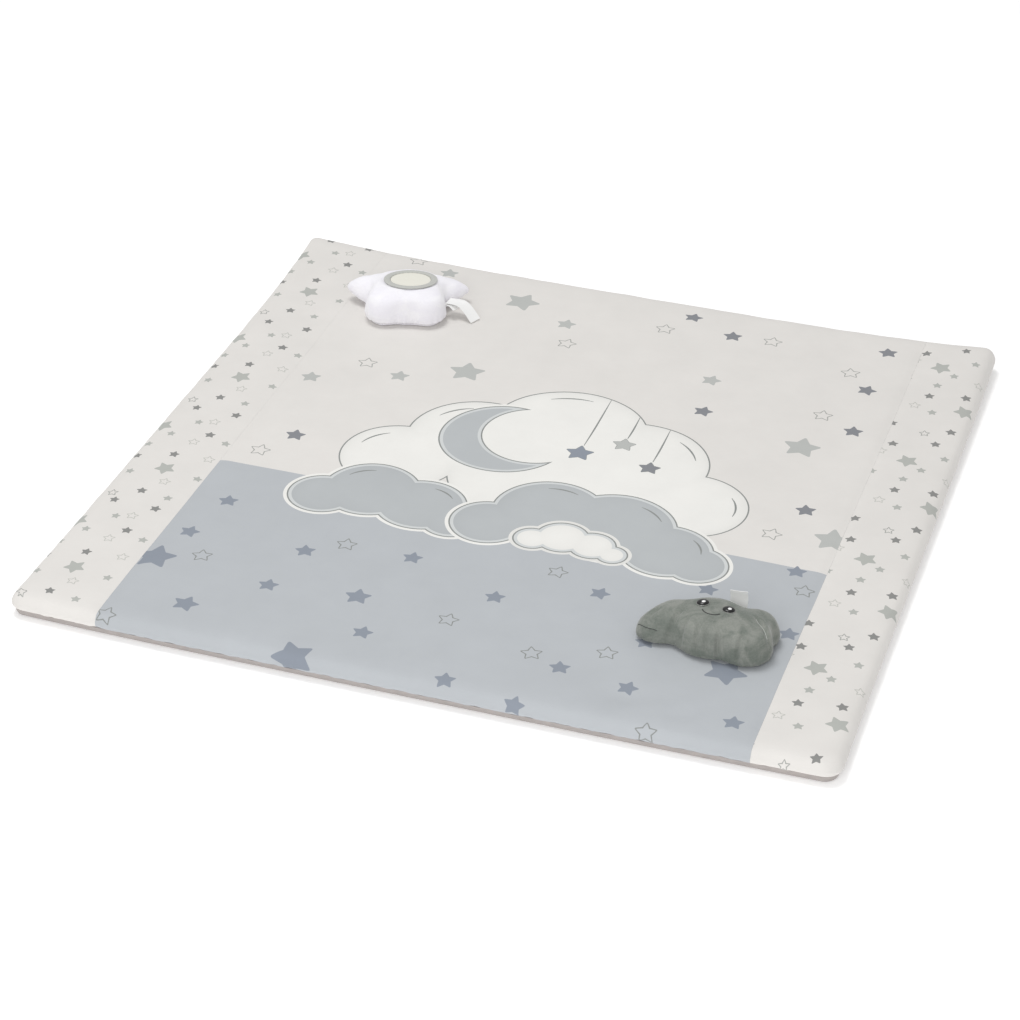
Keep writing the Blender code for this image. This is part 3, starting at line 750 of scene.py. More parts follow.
@dataclass
class StarChart:
    """The printed stars of the mat, as charted.

    The centre panel's chart has 1320 units to the metre from the far left corner of the cloth.
    The strips' charts are in millimetres from the middle of the mat and repeat along the strip.
    """
    unit: float = 1.06 / 1399.0
    half: float = 0.53
    line: float = 2.3 * MM
    strip_line: float = 2.2 * MM
    left_laps: tuple[tuple[float, float], ...] = ((-7.0, -743.0), (-5.0, -494.0), (0.0, -249.0), (0.0, 0.0),
                                                  (-3.0, 255.0), (-4.0, 508.0))
    right_laps: tuple[tuple[float, float], ...] = ((-8.0, -736.0), (-6.0, -490.0), (-1.5, -245.0), (0.0, 0.0),
                                                   (-5.0, 250.0), (-6.0, 502.0))
    near_across: tuple[tuple[float, ...], tuple[float, ...]] = ((-500.0, -430.0, -330.0), (-5.0, -5.0, 0.0))
    near_along_left: tuple[tuple[float, ...], tuple[float, ...]] = ((-500.0, -430.0, -330.0), (-1.0, 0.0, 0.0))
    near_along_right: tuple[tuple[float, ...], tuple[float, ...]] = (
        (-500.0, -470.0, -420.0, -330.0), (-12.0, -8.0, 4.0, 0.0))
    under_edge: float = -500.0

    def on_chart(self, rows: list, width: float, turn: float, ink: Ink) -> list[PrintedShape]:
        """Give filled stars of one size from rows of chart places.

        Args:
            rows: Rows of x, y and the star's own turn in degrees.
            width: The stars' width in millimetres.
            turn: Added to each star's turn.
            ink: Their ink.

        Returns:
            The stars' shapes.
        """
        shapes = []
        for x, y, own_turn in rows:
            star = ChartedStar(x * self.unit - self.half, self.half - y * self.unit, width * MM, turn + own_turn)
            shapes.append(PrintedShape(star_outline(star), ink))
        return shapes

    def outlined_on_chart(self, rows: list, width: float, ink: Ink, ground: Ink) -> list[PrintedShape]:
        """Give outlined stars of one size from rows of chart places.

        Args:
            rows: Rows of x, y and the star's own turn in degrees.
            width: The stars' width in millimetres.
            ink: The line's ink.
            ground: The ink inside the line.

        Returns:
            The stars' shapes, lowest first.
        """
        shapes = []
        for x, y, turn in rows:
            star = ChartedStar(x * self.unit - self.half, self.half - y * self.unit, width * MM, turn)
            shapes.append(PrintedShape(star_outline(star), ink))
            shapes.append(PrintedShape(star_outline(star, -self.line), ground))
        return shapes

    def centre(self) -> list[PrintedShape]:
        """Give every loose star of the centre panel."""
        shapes = self.on_chart([(495, 155, -12), (485, 442, 8), (1100, 495, 0), (1215, 765, 6)],
                               50.0, 0.0, Ink.LIGHT_GREY)
        shapes += self.on_chart([(333, 92, 10), (597, 212, 0), (897, 322, -8), (378, 495, 6), (234, 551, 12)],
                                28.0, 0.0, Ink.LIGHT_GREY)
        shapes += self.on_chart([(808, 106, -4), (893, 153, 10), (1171, 120, 14), (1163, 266, -10),
                                 (1171, 413, 6), (912, 434, -6), (1153, 691, 12), (283, 748, 8)],
                                27.0, 0.0, Ink.DARK_SLATE)
        shapes += self.outlined_on_chart([(263, 65, 10), (771, 169, 6), (965, 147, 0), (1123, 215, 12),
                                          (1110, 378, 4), (619, 282, -6), (309, 469, 10), (245, 813, 0),
                                          (1117, 780, -8)], 28.0, Ink.OUTLINE_GREY, Ink.LIGHT_GROUND)
        shapes += self.on_chart([(215, 1175, 4), (1144, 1180, 53), (517, 1355, 28)], 52.0, 0.0, Ink.SLATE_BLUE)
        shapes += self.on_chart([(555, 1173, 8), (313, 1283, -6)], 33.0, 0.0, Ink.SLATE_BLUE)
        shapes += self.on_chart([(258, 981, 12), (598, 1042, 4), (431, 1080, 16), (236, 1088, -4),
                                 (756, 1105, 8), (906, 1039, -10), (413, 1191, 6), (596, 1263, 0),
                                 (907, 1253, 14), (1017, 1268, -8), (1187, 1303, 4), (755, 1340, 10),
                                 (868, 1360, -6), (1181, 874, 8), (1062, 972, 0), (1010, 1145, 12),
                                 (1210, 1050, 6)], 26.0, 0.0, Ink.SLATE_BLUE)
        shapes += self.outlined_on_chart([(486, 1040, 8), (826, 1003, -6), (283, 1148, 14), (708, 1188, 0),
                                          (963, 1192, 10), (856, 1232, 18), (1205, 925, 4), (1070, 1360, 6),
                                          (208, 1350, -10)], 27.0, Ink.MOTIF_LINE, Ink.BLUE_GROUND)
        return shapes

    def strip(self, rows: dict, laps: tuple) -> list[PrintedShape]:
        """Repeat one strip's chart along the whole strip.

        Args:
            rows: Rows of x, y, width and turn in millimetres and degrees, by ink. A row of the
                outline inks gives an outlined star.
            laps: Where each repeat of the chart lies, in millimetres across and along the strip.
                The cloth is eased a little at its ends, so they aren't quite even.

        Returns:
            The strip's shapes, lowest first.
        """
        shapes = []
        outlined = (Ink.STRIP_OUTLINE, Ink.OUTLINE_GREY)
        for across, along in laps:
            for ink, stars in rows.items():
                for x, y, width, turn in stars:
                    placed = y + along
                    shift_x = np.interp(placed, *self.near_across)
                    shift_y = np.interp(placed, *(self.near_along_left if x < 0.0 else self.near_along_right))
                    if placed < self.under_edge:
                        continue
                    star = ChartedStar((x + across + shift_x) * MM, (placed + shift_y) * MM, width * MM, turn)
                    shapes.append(PrintedShape(star_outline(star), ink))
                    if ink in outlined:
                        shapes.append(PrintedShape(star_outline(star, -self.strip_line), Ink.LIGHT_GROUND))
        return shapes

    def left_strip(self) -> list[PrintedShape]:
        """Give the left strip's stars."""
        return self.strip({
            Ink.STRIP_DARK: [(-418, 175, 15, 8), (-443, 116, 15, 0), (-445, 21, 15, 14), (-406, 233, 15, -8),
                             (-465, 235, 14, 6), (-490, 99, 13, 10)],
            Ink.STRIP_GREY: [(-440, 81, 29, 41), (-491, 181, 29, 41), (-446, 201, 13, 0), (-470, 163, 13, 8),
                             (-391, 162, 13, 4), (-391, 71, 13, 0), (-407, 16, 13, 12), (-482, 60, 13, -8),
                             (-489, 131, 13, 6)],
            Ink.STRIP_OUTLINE: [(-426, 208, 17, 6), (-431, 152, 17, 12), (-427, 51, 17, 0), (-396, 119, 17, 8)],
            Ink.OUTLINE_GREY: [(-480, 5, 16, 10)],
        }, self.left_laps)

    def right_strip(self) -> list[PrintedShape]:
        """Give the right strip's stars."""
        return self.strip({
            Ink.STRIP_DARK: [(412, 205, 15, 6), (466, 222, 15, 12), (438, 91, 15, 10), (488, 101, 16, 20),
                             (405, 10, 15, 8), (485, 9, 16, 14)],
            Ink.STRIP_GREY: [(439, 168, 30, 34), (492, 66, 30, 32), (485, 190, 14, 4), (461, 151, 14, 10),
                             (400, 131, 14, 0), (443, 121, 14, 8), (450, 51, 14, 12)],
            Ink.STRIP_OUTLINE: [(424, 62, 17, 6), (401, 184, 17, 0), (499, 141, 16, 10)],
            Ink.OUTLINE_GREY: [(451, -5, 16, 10)],
        }, self.right_laps)


# The mat


class SidePoint(NamedTuple):
    """A point of the mat's side: how far in from the outline, and how high."""
    inset: float
    height: float


class EdgePull(NamedTuple):
    """How far the filling draws an edge of the mat in, at its two ends and its middle."""
    start: float
    middle: float
    end: float


class CornerLift(NamedTuple):
    """How much fuller than the rest the mat is in one corner."""
    side_x: int
    side_y: int
    lift: float


class Crease(NamedTuple):
    """A soft fold of the top cloth from one point to another."""
    start: tuple[float, float]
    end: tuple[float, float]
    half_width: float
    depth: float


@dataclass
class MatForm:
    """The mat's filled form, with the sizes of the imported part: lays flat cloth over it."""
    half: float = 0.501
    top: float = 0.030
    rim_height: float = 0.0095
    grid_inset: float = 0.045
    corner_radii: tuple[float, float, float, float] = (0.022, 0.013, 0.011, 0.017)
    pull_depth: float = 0.080
    seams: tuple[float, float] = (-0.383, 0.400)
    seam_dip: float = 0.0016
    seam_dip_width: float = 0.007
    left_pull: EdgePull = EdgePull(0.0035, 0.0050, -0.0035)
    right_pull: EdgePull = EdgePull(0.0003, 0.0030, 0.0055)
    near_pull: EdgePull = EdgePull(0.0060, 0.0010, 0.0040)
    far_pull: EdgePull = EdgePull(0.0000, 0.0060, 0.0000)
    lifts: tuple[CornerLift, ...] = (CornerLift(-1, 1, 0.009), CornerLift(1, 1, 0.011),
                                     CornerLift(-1, -1, 0.002))
    creases: tuple[Crease, ...] = (
        Crease((0.290, -0.480), (0.392, -0.378), 0.012, 0.0026),
        Crease((0.212, -0.462), (0.340, -0.402), 0.013, 0.0022),
        Crease((0.405, 0.470), (0.412, 0.380), 0.010, 0.0012),
    )
    toy_centres: tuple[tuple[float, float], ...] = ((-0.297, 0.335), (0.305, -0.308))
    flat_radius: float = 0.105
    flat_blend: float = 0.060
    wrap_start: float = 0.420
    side: tuple[SidePoint, ...] = (
        SidePoint(0.0450, 0.0300), SidePoint(0.0240, 0.0296), SidePoint(0.0125, 0.0284),
        SidePoint(0.0062, 0.0262), SidePoint(0.0022, 0.0216), SidePoint(0.0004, 0.0178),
        SidePoint(0.0000, 0.0148), SidePoint(0.0013, 0.0117), SidePoint(0.0040, 0.0100),
        SidePoint(0.0063, 0.0096), SidePoint(0.0068, 0.0059), SidePoint(0.0082, 0.0033),
        SidePoint(0.0105, 0.0023),
    )

    def __post_init__(self) -> None:
        """Measure the side's run from the flat top down to under the rim."""
        path = smooth_path([(point.inset, point.height, 0.0) for point in self.side], 12)
        self.insets = np.array([point.x for point in path])
        self.heights = np.array([point.y for point in path])
        steps = np.hypot(np.diff(self.insets), np.diff(self.heights))
        self.runs = np.concatenate([[0.0], np.cumsum(steps)])
        self.grid_half = self.half - self.grid_inset
        self.cloth_half = self.grid_half + self.runs[-1]
        self.rim_run = self.runs[12 * 8]

    def radius_at(self, x: np.ndarray, y: np.ndarray) -> np.ndarray:
        """Give the radius of the corner nearest to each place."""
        near_right, far_right, far_left, near_left = self.corner_radii
        return np.where(y > 0.0, np.where(x > 0.0, far_right, far_left), np.where(x > 0.0, near_right, near_left))

    def pulled(self, pull: EdgePull, along: np.ndarray) -> np.ndarray:
        """Give the draw-in of an edge at places along it, from -1 to 1."""
        end = np.where(along > 0.0, pull.end, pull.start)
        return pull.middle + (end - pull.middle) * np.abs(along) ** 4

    def draw_in(self, x: np.ndarray, y: np.ndarray) -> tuple[np.ndarray, np.ndarray]:
        """Move places of the plain square to where the drawn-in outline puts them."""
        edge = self.half - self.pull_depth
        near_side = smooth_step((np.abs(x) - edge) / self.pull_depth)
        near_end = smooth_step((np.abs(y) - edge) / self.pull_depth)
        pull_x = np.where(x > 0.0, self.pulled(self.right_pull, y / self.half),
                          self.pulled(self.left_pull, y / self.half))
        pull_y = np.where(y > 0.0, self.pulled(self.far_pull, x / self.half),
                          self.pulled(self.near_pull, x / self.half))
        return x - np.sign(x) * pull_x * near_side, y - np.sign(y) * pull_y * near_end

    def clear_of_toys(self, x: np.ndarray, y: np.ndarray) -> np.ndarray:
        """Give 0 where a toy presses the mat flat, rising to 1 away from both toys."""
        share = np.ones_like(x)
        for centre in self.toy_centres:
            away = np.hypot(x - centre[0], y - centre[1])
            share = share * smooth_step((away - self.flat_radius) / self.flat_blend)
        return share

    def top_shift(self, x: np.ndarray, y: np.ndarray) -> np.ndarray:
        """Give how far the top lies above or below its plain height: waves, seams and creases."""
        shift = 0.0007 * np.sin(math.tau * x / 0.37 + 0.6) * np.sin(math.tau * y / 0.43 + 1.1)
        shift = shift + 0.0004 * wave_sum(x * 0.9 + y * 0.5, (0.11, 0.17, 0.26), 11)
        shift = shift + 0.0003 * wave_sum(y * 0.8 - x * 0.6, (0.09, 0.14, 0.23), 12)
        for number, seam_x in enumerate(self.seams):
            away = x - seam_x
            shift = shift - self.seam_dip * np.exp(-((away / self.seam_dip_width) ** 2))
            for side in (-1, 1):
                beside = np.where(away * side > 0.0, np.exp(-np.abs(away) / 0.011), 0.0)
                pucker = wave_sum(y, (0.012, 0.019, 0.027, 0.043), 20 + 2 * number + side)
                shift = shift + 0.00035 * beside * pucker * np.clip(np.abs(away) / 0.003, 0.0, 1.0)
        for crease in self.creases:
            start = np.array(crease.start)
            run = np.array(crease.end) - start
            along = ((x - start[0]) * run[0] + (y - start[1]) * run[1]) / (run @ run)
            across = np.abs((x - start[0]) * run[1] - (y - start[1]) * run[0]) / math.sqrt(run @ run)
            fade = smooth_step(np.minimum(along, 1.0 - along) * 4.0)
            shift = shift - crease.depth * fade * np.exp(-((across / crease.half_width) ** 2))
        return shift * self.clear_of_toys(x, y)

    def corner_lift(self, x: np.ndarray, y: np.ndarray) -> np.ndarray:
        """Give how much the fuller corners raise the top."""
        lift = np.zeros_like(x)
        for corner in self.lifts:
            reach_x = np.maximum(corner.side_x * x / self.half, 0.0)
            reach_y = np.maximum(corner.side_y * y / self.half, 0.0)
            lift = lift + corner.lift * (reach_x * reach_y) ** 4
        return lift * self.clear_of_toys(x, y)

    def side_folds(self, along: np.ndarray, sides: np.ndarray, down: np.ndarray) -> np.ndarray:
        """Give how far the side cloth stands out in small puckers above the rim seam.

        Args:
            along: Places along each side, from its middle.
            sides: Which of the four sides each place is on.
            down: How far down the side's run each place lies.

        Returns:
            The height of the puckers, outwards.
        """
        near_rim = np.exp(-(((self.rim_run - down) / 0.011) ** 2))
        on_bend = np.exp(-(((down - 0.040) / 0.012) ** 2))
        fade = smooth_step((0.478 - np.abs(along)) / 0.03)
        total = np.zeros_like(along)
        for side in range(4):
            fine = wave_sum(along, (0.016, 0.022, 0.031, 0.047), 40 + side)
            broad = wave_sum(along, (0.055, 0.083, 0.131), 50 + side)
            folds = 0.0006 * near_rim * fine + 0.0003 * on_bend * broad
            total = np.where(sides == side, folds, total)
        return total * fade * (down < self.rim_run)

    def lay(self, cloth: np.ndarray) -> np.ndarray:
        """Lay flat cloth over the mat's form.

        Args:
            cloth: Rows of x and y on the flat cloth.

        Returns:
            Rows of x, y and z on the mat.
        """
        x, y = cloth[:, 0], cloth[:, 1]
        far_x, far_y = np.abs(x), np.abs(y)
        reach = np.maximum(far_x, far_y)
        along = np.minimum(far_x, far_y)
        down = np.maximum(reach - self.grid_half, 0.0)
        inset = np.interp(down, self.runs, self.insets)
        height = np.interp(down, self.runs, self.heights)
        radius = self.radius_at(x, y) * np.clip(1.0 - inset / self.grid_inset, 1e-6, 1.0)
        straight = self.half - inset - radius
        quarter = straight + radius * math.pi / 4.0
        squeezed = self.wrap_start + (along - self.wrap_start) * (quarter - self.wrap_start) / np.maximum(
            reach - self.wrap_start, 1e-6)
        arc = np.where(along > self.wrap_start, squeezed, along)
        turn = np.clip((arc - straight) / radius, 0.0, math.pi / 4.0)
        outward = straight + radius * np.cos(turn)
        sideward = np.minimum(arc, straight) + radius * np.sin(turn)
        on_side = down > 0.0
        mostly_x = far_x >= far_y
        plain_x = np.where(on_side, np.where(mostly_x, outward, sideward) * np.sign(x), x)
        plain_y = np.where(on_side, np.where(mostly_x, sideward, outward) * np.sign(y), y)

        slope_in = np.gradient(self.insets, self.runs)
        slope_up = np.gradient(self.heights, self.runs)
        normal_out = -np.interp(down, self.runs, slope_up)
        normal_up = -np.interp(down, self.runs, slope_in)
        facing_main, facing_side = np.cos(turn), np.sin(turn)
        sides = np.where(mostly_x, np.where(x > 0.0, 0, 1), np.where(y > 0.0, 2, 3))
        signed = np.where(mostly_x, y, x)
        folds = self.side_folds(signed, sides, down) * on_side
        fold_x = np.where(mostly_x, facing_main, facing_side) * np.sign(x) * normal_out * folds
        fold_y = np.where(mostly_x, facing_side, facing_main) * np.sign(y) * normal_out * folds

        above_rim = np.clip((height - self.rim_height) / (self.top - self.rim_height), 0.0, 1.0)
        lift = self.corner_lift(plain_x, plain_y) * above_rim
        shift = self.top_shift(plain_x, plain_y) * smooth_step((above_rim - 0.8) / 0.2)
        placed_x, placed_y = self.draw_in(plain_x, plain_y)
        return np.stack([placed_x + fold_x, placed_y + fold_y, height + lift + shift + normal_up * folds], axis=1)


@dataclass
class PrintedPanel:
    """One printed panel of the mat: its cloth with the filling under it, as a closed piece."""
    name: str
    node: str
    slot: str
    ground: Ink
    left: float
    right: float
    shapes: list[PrintedShape]
    form: MatForm
    step: float = 5.5 * MM
    side_step: float = 3.0 * MM
    clearance: float = 1.3 * MM

    def lines(self, low: float, high: float, dense: tuple[float, ...]) -> list[float]:
        """Give grid lines across the cloth: even on top, finer down the sides and at the seams.

        Args:
            low: The first line.
            high: The last line.
            dense: Seams that get close lines beside them.

        Returns:
            The lines' places, in order.
        """
        edge = self.form.grid_half
        places = {low, high}
        count = round(2.0 * edge / self.step)
        places.update(-edge + 2.0 * edge * k / count for k in range(count + 1))
        side_count = round(self.form.runs[-1] / self.side_step)
        for k in range(1, side_count + 1):
            out = edge + self.form.runs[-1] * k / side_count
            places.update((-out, out))
        inside = sorted(place for place in places if low <= place <= high)
        for seam in dense:
            inside = [place for place in inside if abs(place - seam) > 9.5 * MM or place in (low, high)]
            for away in (0.6, 1.4, 2.6, 4.4, 7.0):
                inside += [seam - away * MM, seam + away * MM]
        return sorted(place for place in set(inside) if low <= place <= high)

    def flat_cloth(self) -> tuple[np.ndarray, list, list]:
        """Cut the flat cloth into triangles along the outline of every printed shape.

        Returns:
            The points on the flat cloth, the triangles, and the shape on top of each triangle
            (0 for the ground, else the shape's number plus one).
        """
        limit = self.form.cloth_half
        xs = self.lines(self.left, self.right, self.form.seams)
        ys = self.lines(-limit, limit, ())
        border = [(x, ys[0]) for x in xs[:-1]] + [(xs[-1], y) for y in ys[:-1]]
        border += [(x, ys[-1]) for x in xs[:0:-1]] + [(xs[0], y) for y in ys[:0:-1]]
        points = [Vector(place) for place in border]
        loops = [list(range(len(border)))]
        inner = np.array([(x, y) for x in xs[1:-1] for y in ys[1:-1]])
        free = np.ones(len(inner), bool)
        for shape in self.shapes:
            outline = self.closely(shape.outline)
            free &= self.away_from(inner, outline)
            loops.append(list(range(len(points), len(points) + len(outline))))
            points += [Vector(place) for place in outline]
        points += [Vector(place) for place in inner[free]]
        found = delaunay_2d_cdt(points, [], loops, 0, 1e-6, True)
        flat = np.array([tuple(place) for place in found[0]])
        triangles, tops = [], []
        for corners, origins in zip(found[2], found[5]):
            if 0 in origins:
                triangles.append(tuple(corners))
                tops.append(max(origins))
        return flat, triangles, tops

    def closely(self, outline: list[tuple[float, float]]) -> np.ndarray:
        """Give an outline again with points no more than a few millimetres apart."""
        corners = np.array(outline)
        keep = np.hypot(*(corners - np.roll(corners, 1, axis=0)).T) > 0.05 * MM
        corners = corners[keep]
        places = []
        for start, end in zip(corners, np.roll(corners, -1, axis=0)):
            pieces = max(1, math.ceil(math.dist(start, end) / (3.5 * MM)))
            places += [start + (end - start) * k / pieces for k in range(pieces)]
        return np.array(places)

    def away_from(self, inner: np.ndarray, outline: np.ndarray) -> np.ndarray:
        """Tell which grid points keep clear of an outline."""
        free = np.ones(len(inner), bool)
        low, high = outline.min(0) - self.clearance, outline.max(0) + self.clearance
        near = np.flatnonzero(np.all((inner > low) & (inner < high), axis=1))
        if len(near):
            gaps = np.linalg.norm(inner[near][:, None, :] - outline[None, :, :], axis=2).min(axis=1)
            free[near[gaps < self.clearance]] = False
        return free

    def build(self, materials: dict[Ink, bpy.types.Material]) -> bpy.types.Object:
        """Model the panel and dress it in its inks.

        Args:
            materials: The material of each ink.

        Returns:
            The panel.
        """
        flat, triangles, tops = self.flat_cloth()
        placed = self.form.lay(flat)
        mesh = bpy.data.meshes.new(self.name)
        mesh.from_pydata(placed.tolist(), [], triangles)
        inks = [self.ground] + [shape.ink for shape in self.shapes]
        used = sorted({inks[top] for top in tops} | {self.ground}, key=list(Ink).index)
        for ink in used:
            mesh.materials.append(materials[ink])
        numbers = [used.index(inks[top]) for top in tops]
        mesh.polygons.foreach_set("material_index", numbers)
        self.shade(mesh, flat, triangles, tops)
        self.close(mesh, used.index(self.ground))
        panel = bpy.data.objects.new(self.name, mesh)
        bpy.context.scene.collection.objects.link(panel)
        smooth_shaded(panel, 50.0)
        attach(panel, BODY)
        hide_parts(self.node)
        return panel

    def shade(self, mesh: bpy.types.Mesh, flat: np.ndarray, triangles: list, tops: list) -> None:
        """Write the print's soft inner shading on the corners of its faces.

        Args:
            mesh: The panel's mesh, before it is closed.
            flat: The points on the flat cloth.
            triangles: The faces' corners.
            tops: The shape on top of each face.
        """
        shade = np.zeros((len(triangles), 3))
        corners = np.array(triangles)
        tops_row = np.array(tops)
        motifs = {id(shape.shaded): shape.shaded for shape in self.shapes if shape.shaded}
        owner = np.array([0] + [id(shape.shaded) if shape.shaded else 0 for shape in self.shapes])[tops_row]
        for key, motif in motifs.items():
            mine = owner == key
            depth = motif.depth(flat)[corners[mine]]
            shade[mine] = 0.10 * np.exp(-np.maximum(depth, 0.0) / (9.0 * MM))
        attribute = mesh.attributes.new("soft_shade", "FLOAT", "CORNER")
        attribute.data.foreach_set("value", shade.ravel())

    def close(self, mesh: bpy.types.Mesh, ground: int) -> None:
        """Close the panel: a flat wall at each seam and a flat underside."""
        shell = bmesh.new()
        shell.from_mesh(mesh)
        form = self.form
        low = form.side[-1].height
        for cut in (self.left, self.right):
            if abs(cut) >= form.cloth_half:
                continue
            rim = [edge for edge in shell.edges if edge.is_boundary
                   and all(abs(vert.co.x - cut) < 0.02 * MM for vert in edge.verts)]
            ends = [vert for vert in {v for edge in rim for v in edge.verts}
                    if sum(edge in rim for edge in vert.link_edges) == 1]
            rim.append(shell.edges.new(ends))
            bmesh.ops.edgenet_fill(shell, edges=rim, mat_nr=ground)
        under = [edge for edge in shell.edges if edge.is_boundary
                 and all(vert.co.z < low + 1.0 * MM for vert in edge.verts)]
        bmesh.ops.edgenet_fill(shell, edges=under, mat_nr=ground)
        large = [face for face in shell.faces if len(face.verts) > 4]
        bmesh.ops.triangulate(shell, faces=large)
        bmesh.ops.recalc_face_normals(shell, faces=shell.faces)
        shell.to_mesh(mesh)
        shell.free()


@dataclass
class BackCloth:
    """The taupe back cloth: flat on the floor, its rim turned up round the filling to the seam."""
    form: MatForm
    thickness: float = 0.002
    rim_inset: float = 0.004
    rim_depth: float = 0.006
    spacing: float = 6.0 * MM
    arc_steps: int = 6

    def profile(self) -> list[SidePoint]:
        """Give the rim's section, from the floor up over its lip and down inside."""
        height = self.form.rim_height
        points = []
        for inward, order in ((0.0, 1), (self.thickness, -1)):
            arc = []
            for step in range(self.arc_steps + 1):
                angle = 0.5 * math.pi * step / self.arc_steps
                arc.append(SidePoint(self.rim_inset + self.rim_depth - (self.rim_depth - inward) * math.sin(angle),
                                     height - (height - inward) * math.cos(angle)))
            points += arc[::order]
        lip = SidePoint(self.rim_inset + 0.5 * self.thickness, height + 0.1 * MM)
        middle = self.arc_steps + 1
        return points[:middle] + [lip] + points[middle:]

    def ring(self, side: SidePoint) -> np.ndarray:
        """Give one level ring round the cloth, counter-clockwise."""
        form = self.form
        radii = [max(radius - side.inset, 1.0 * MM) for radius in form.corner_radii]
        outer = form.half - side.inset
        count = round(2.0 * form.half / self.spacing)
        turns = np.linspace(0.0, 0.5 * math.pi, 8)[1:-1]
        places = []
        for quarter, radius in enumerate(radii):
            base = quarter * 0.5 * math.pi
            turn = np.array(((math.cos(base), -math.sin(base)), (math.sin(base), math.cos(base))))
            runs = np.linspace(radii[quarter - 1] - outer, outer - radius, count)
            edge = np.stack([runs, np.full(count, -outer)], axis=1)
            bend = np.stack([outer - radius + radius * np.sin(turns),
                             radius - outer - radius * np.cos(turns)], axis=1)
            places.append(np.concatenate([edge, bend]) @ turn.T)
        return np.concatenate(places)

    def build(self, material: bpy.types.Material) -> bpy.types.Object:
        """Model the back cloth and dress it."""
        shell = bmesh.new()
        rings = []
        for side in self.profile():
            plain = self.ring(side)
            x, y = self.form.draw_in(plain[:, 0], plain[:, 1])
            share = side.height / self.form.rim_height
            wave = 0.0005 * share * wave_sum(x + 1.3 * y, (0.021, 0.033, 0.052, 0.087), 61)
            rings.append([shell.verts.new((px, py, max(side.height + rise, 0.0)))
                          for px, py, rise in zip(x, y, wave)])
        for lower, upper in zip(rings, rings[1:]):
            for index in range(len(lower)):
                after = (index + 1) % len(lower)
                shell.faces.new((lower[index], lower[after], upper[after], upper[index]))
        shell.faces.new(rings[0][::-1])
        shell.faces.new(rings[-1])
        bmesh.ops.triangulate(shell, faces=[face for face in shell.faces if len(face.verts) > 4])
        bmesh.ops.recalc_face_normals(shell, faces=shell.faces)
        mesh = bpy.data.meshes.new("back_cloth_woven")
        shell.to_mesh(mesh)
        shell.free()
        mesh.materials.append(material)
        cloth = bpy.data.objects.new("back_cloth_woven", mesh)
        bpy.context.scene.collection.objects.link(cloth)
        smooth_shaded(cloth, 50.0)
        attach(cloth, BODY)
        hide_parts("back_cloth")
        return cloth


@dataclass
class PlayMat:
    """The padded mat: a centre panel, two star-strewn strips and a back cloth."""
    form: MatForm = field(default_factory=MatForm)
    chart: StarChart = field(default_factory=StarChart)
    picture: NightSkyPicture = field(default_factory=NightSkyPicture)
    blue_edge: float = -0.124

    def build(self) -> list[bpy.types.Object]:
        """Model and dress the mat's four pieces."""
        inks = {ink: PrintedMicrofibre(ink).material() for ink in Ink}
        limit = self.form.cloth_half
        left_seam, right_seam = self.form.seams
        blue = [(left_seam - 0.01, -limit - 0.01), (right_seam + 0.01, -limit - 0.01),
                (right_seam + 0.01, self.blue_edge), (left_seam - 0.01, self.blue_edge)]
        centre_shapes = [PrintedShape(blue, Ink.BLUE_GROUND)]
        centre_shapes += self.chart.centre()
        centre_shapes += self.picture.shapes()
        half_gap = 0.05 * MM
        panels = [
            PrintedPanel("centre_panel_printed", "centre_panel", "printed_centre_cloth", Ink.LIGHT_GROUND,
                         left_seam + half_gap, right_seam - half_gap, centre_shapes, self.form),
            PrintedPanel("left_strip_printed", "left_border", "printed_border_cloth", Ink.LIGHT_GROUND,
                         -limit, left_seam - half_gap, self.chart.left_strip(), self.form),
            PrintedPanel("right_strip_printed", "right_border", "printed_border_cloth", Ink.LIGHT_GROUND,
                         right_seam + half_gap, limit, self.chart.right_strip(), self.form),
        ]
        pieces = [panel.build(inks) for panel in panels]
        pieces.append(BackCloth(self.form).build(WovenBackCloth().material()))
        return pieces


# The toys


class Fold(NamedTuple):
    """A soft fold pressed into a toy's upper face, from one place on the mat's plan to another."""
    start: tuple[float, float]
    end: tuple[float, float]
    half_width: float
    depth: float


class Arm(NamedTuple):
    """A toy's arm that narrows from one place on the mat's plan to its tip."""
    start: tuple[float, float]
    tip: tuple[float, float]
    narrow: float
    tip_z: float


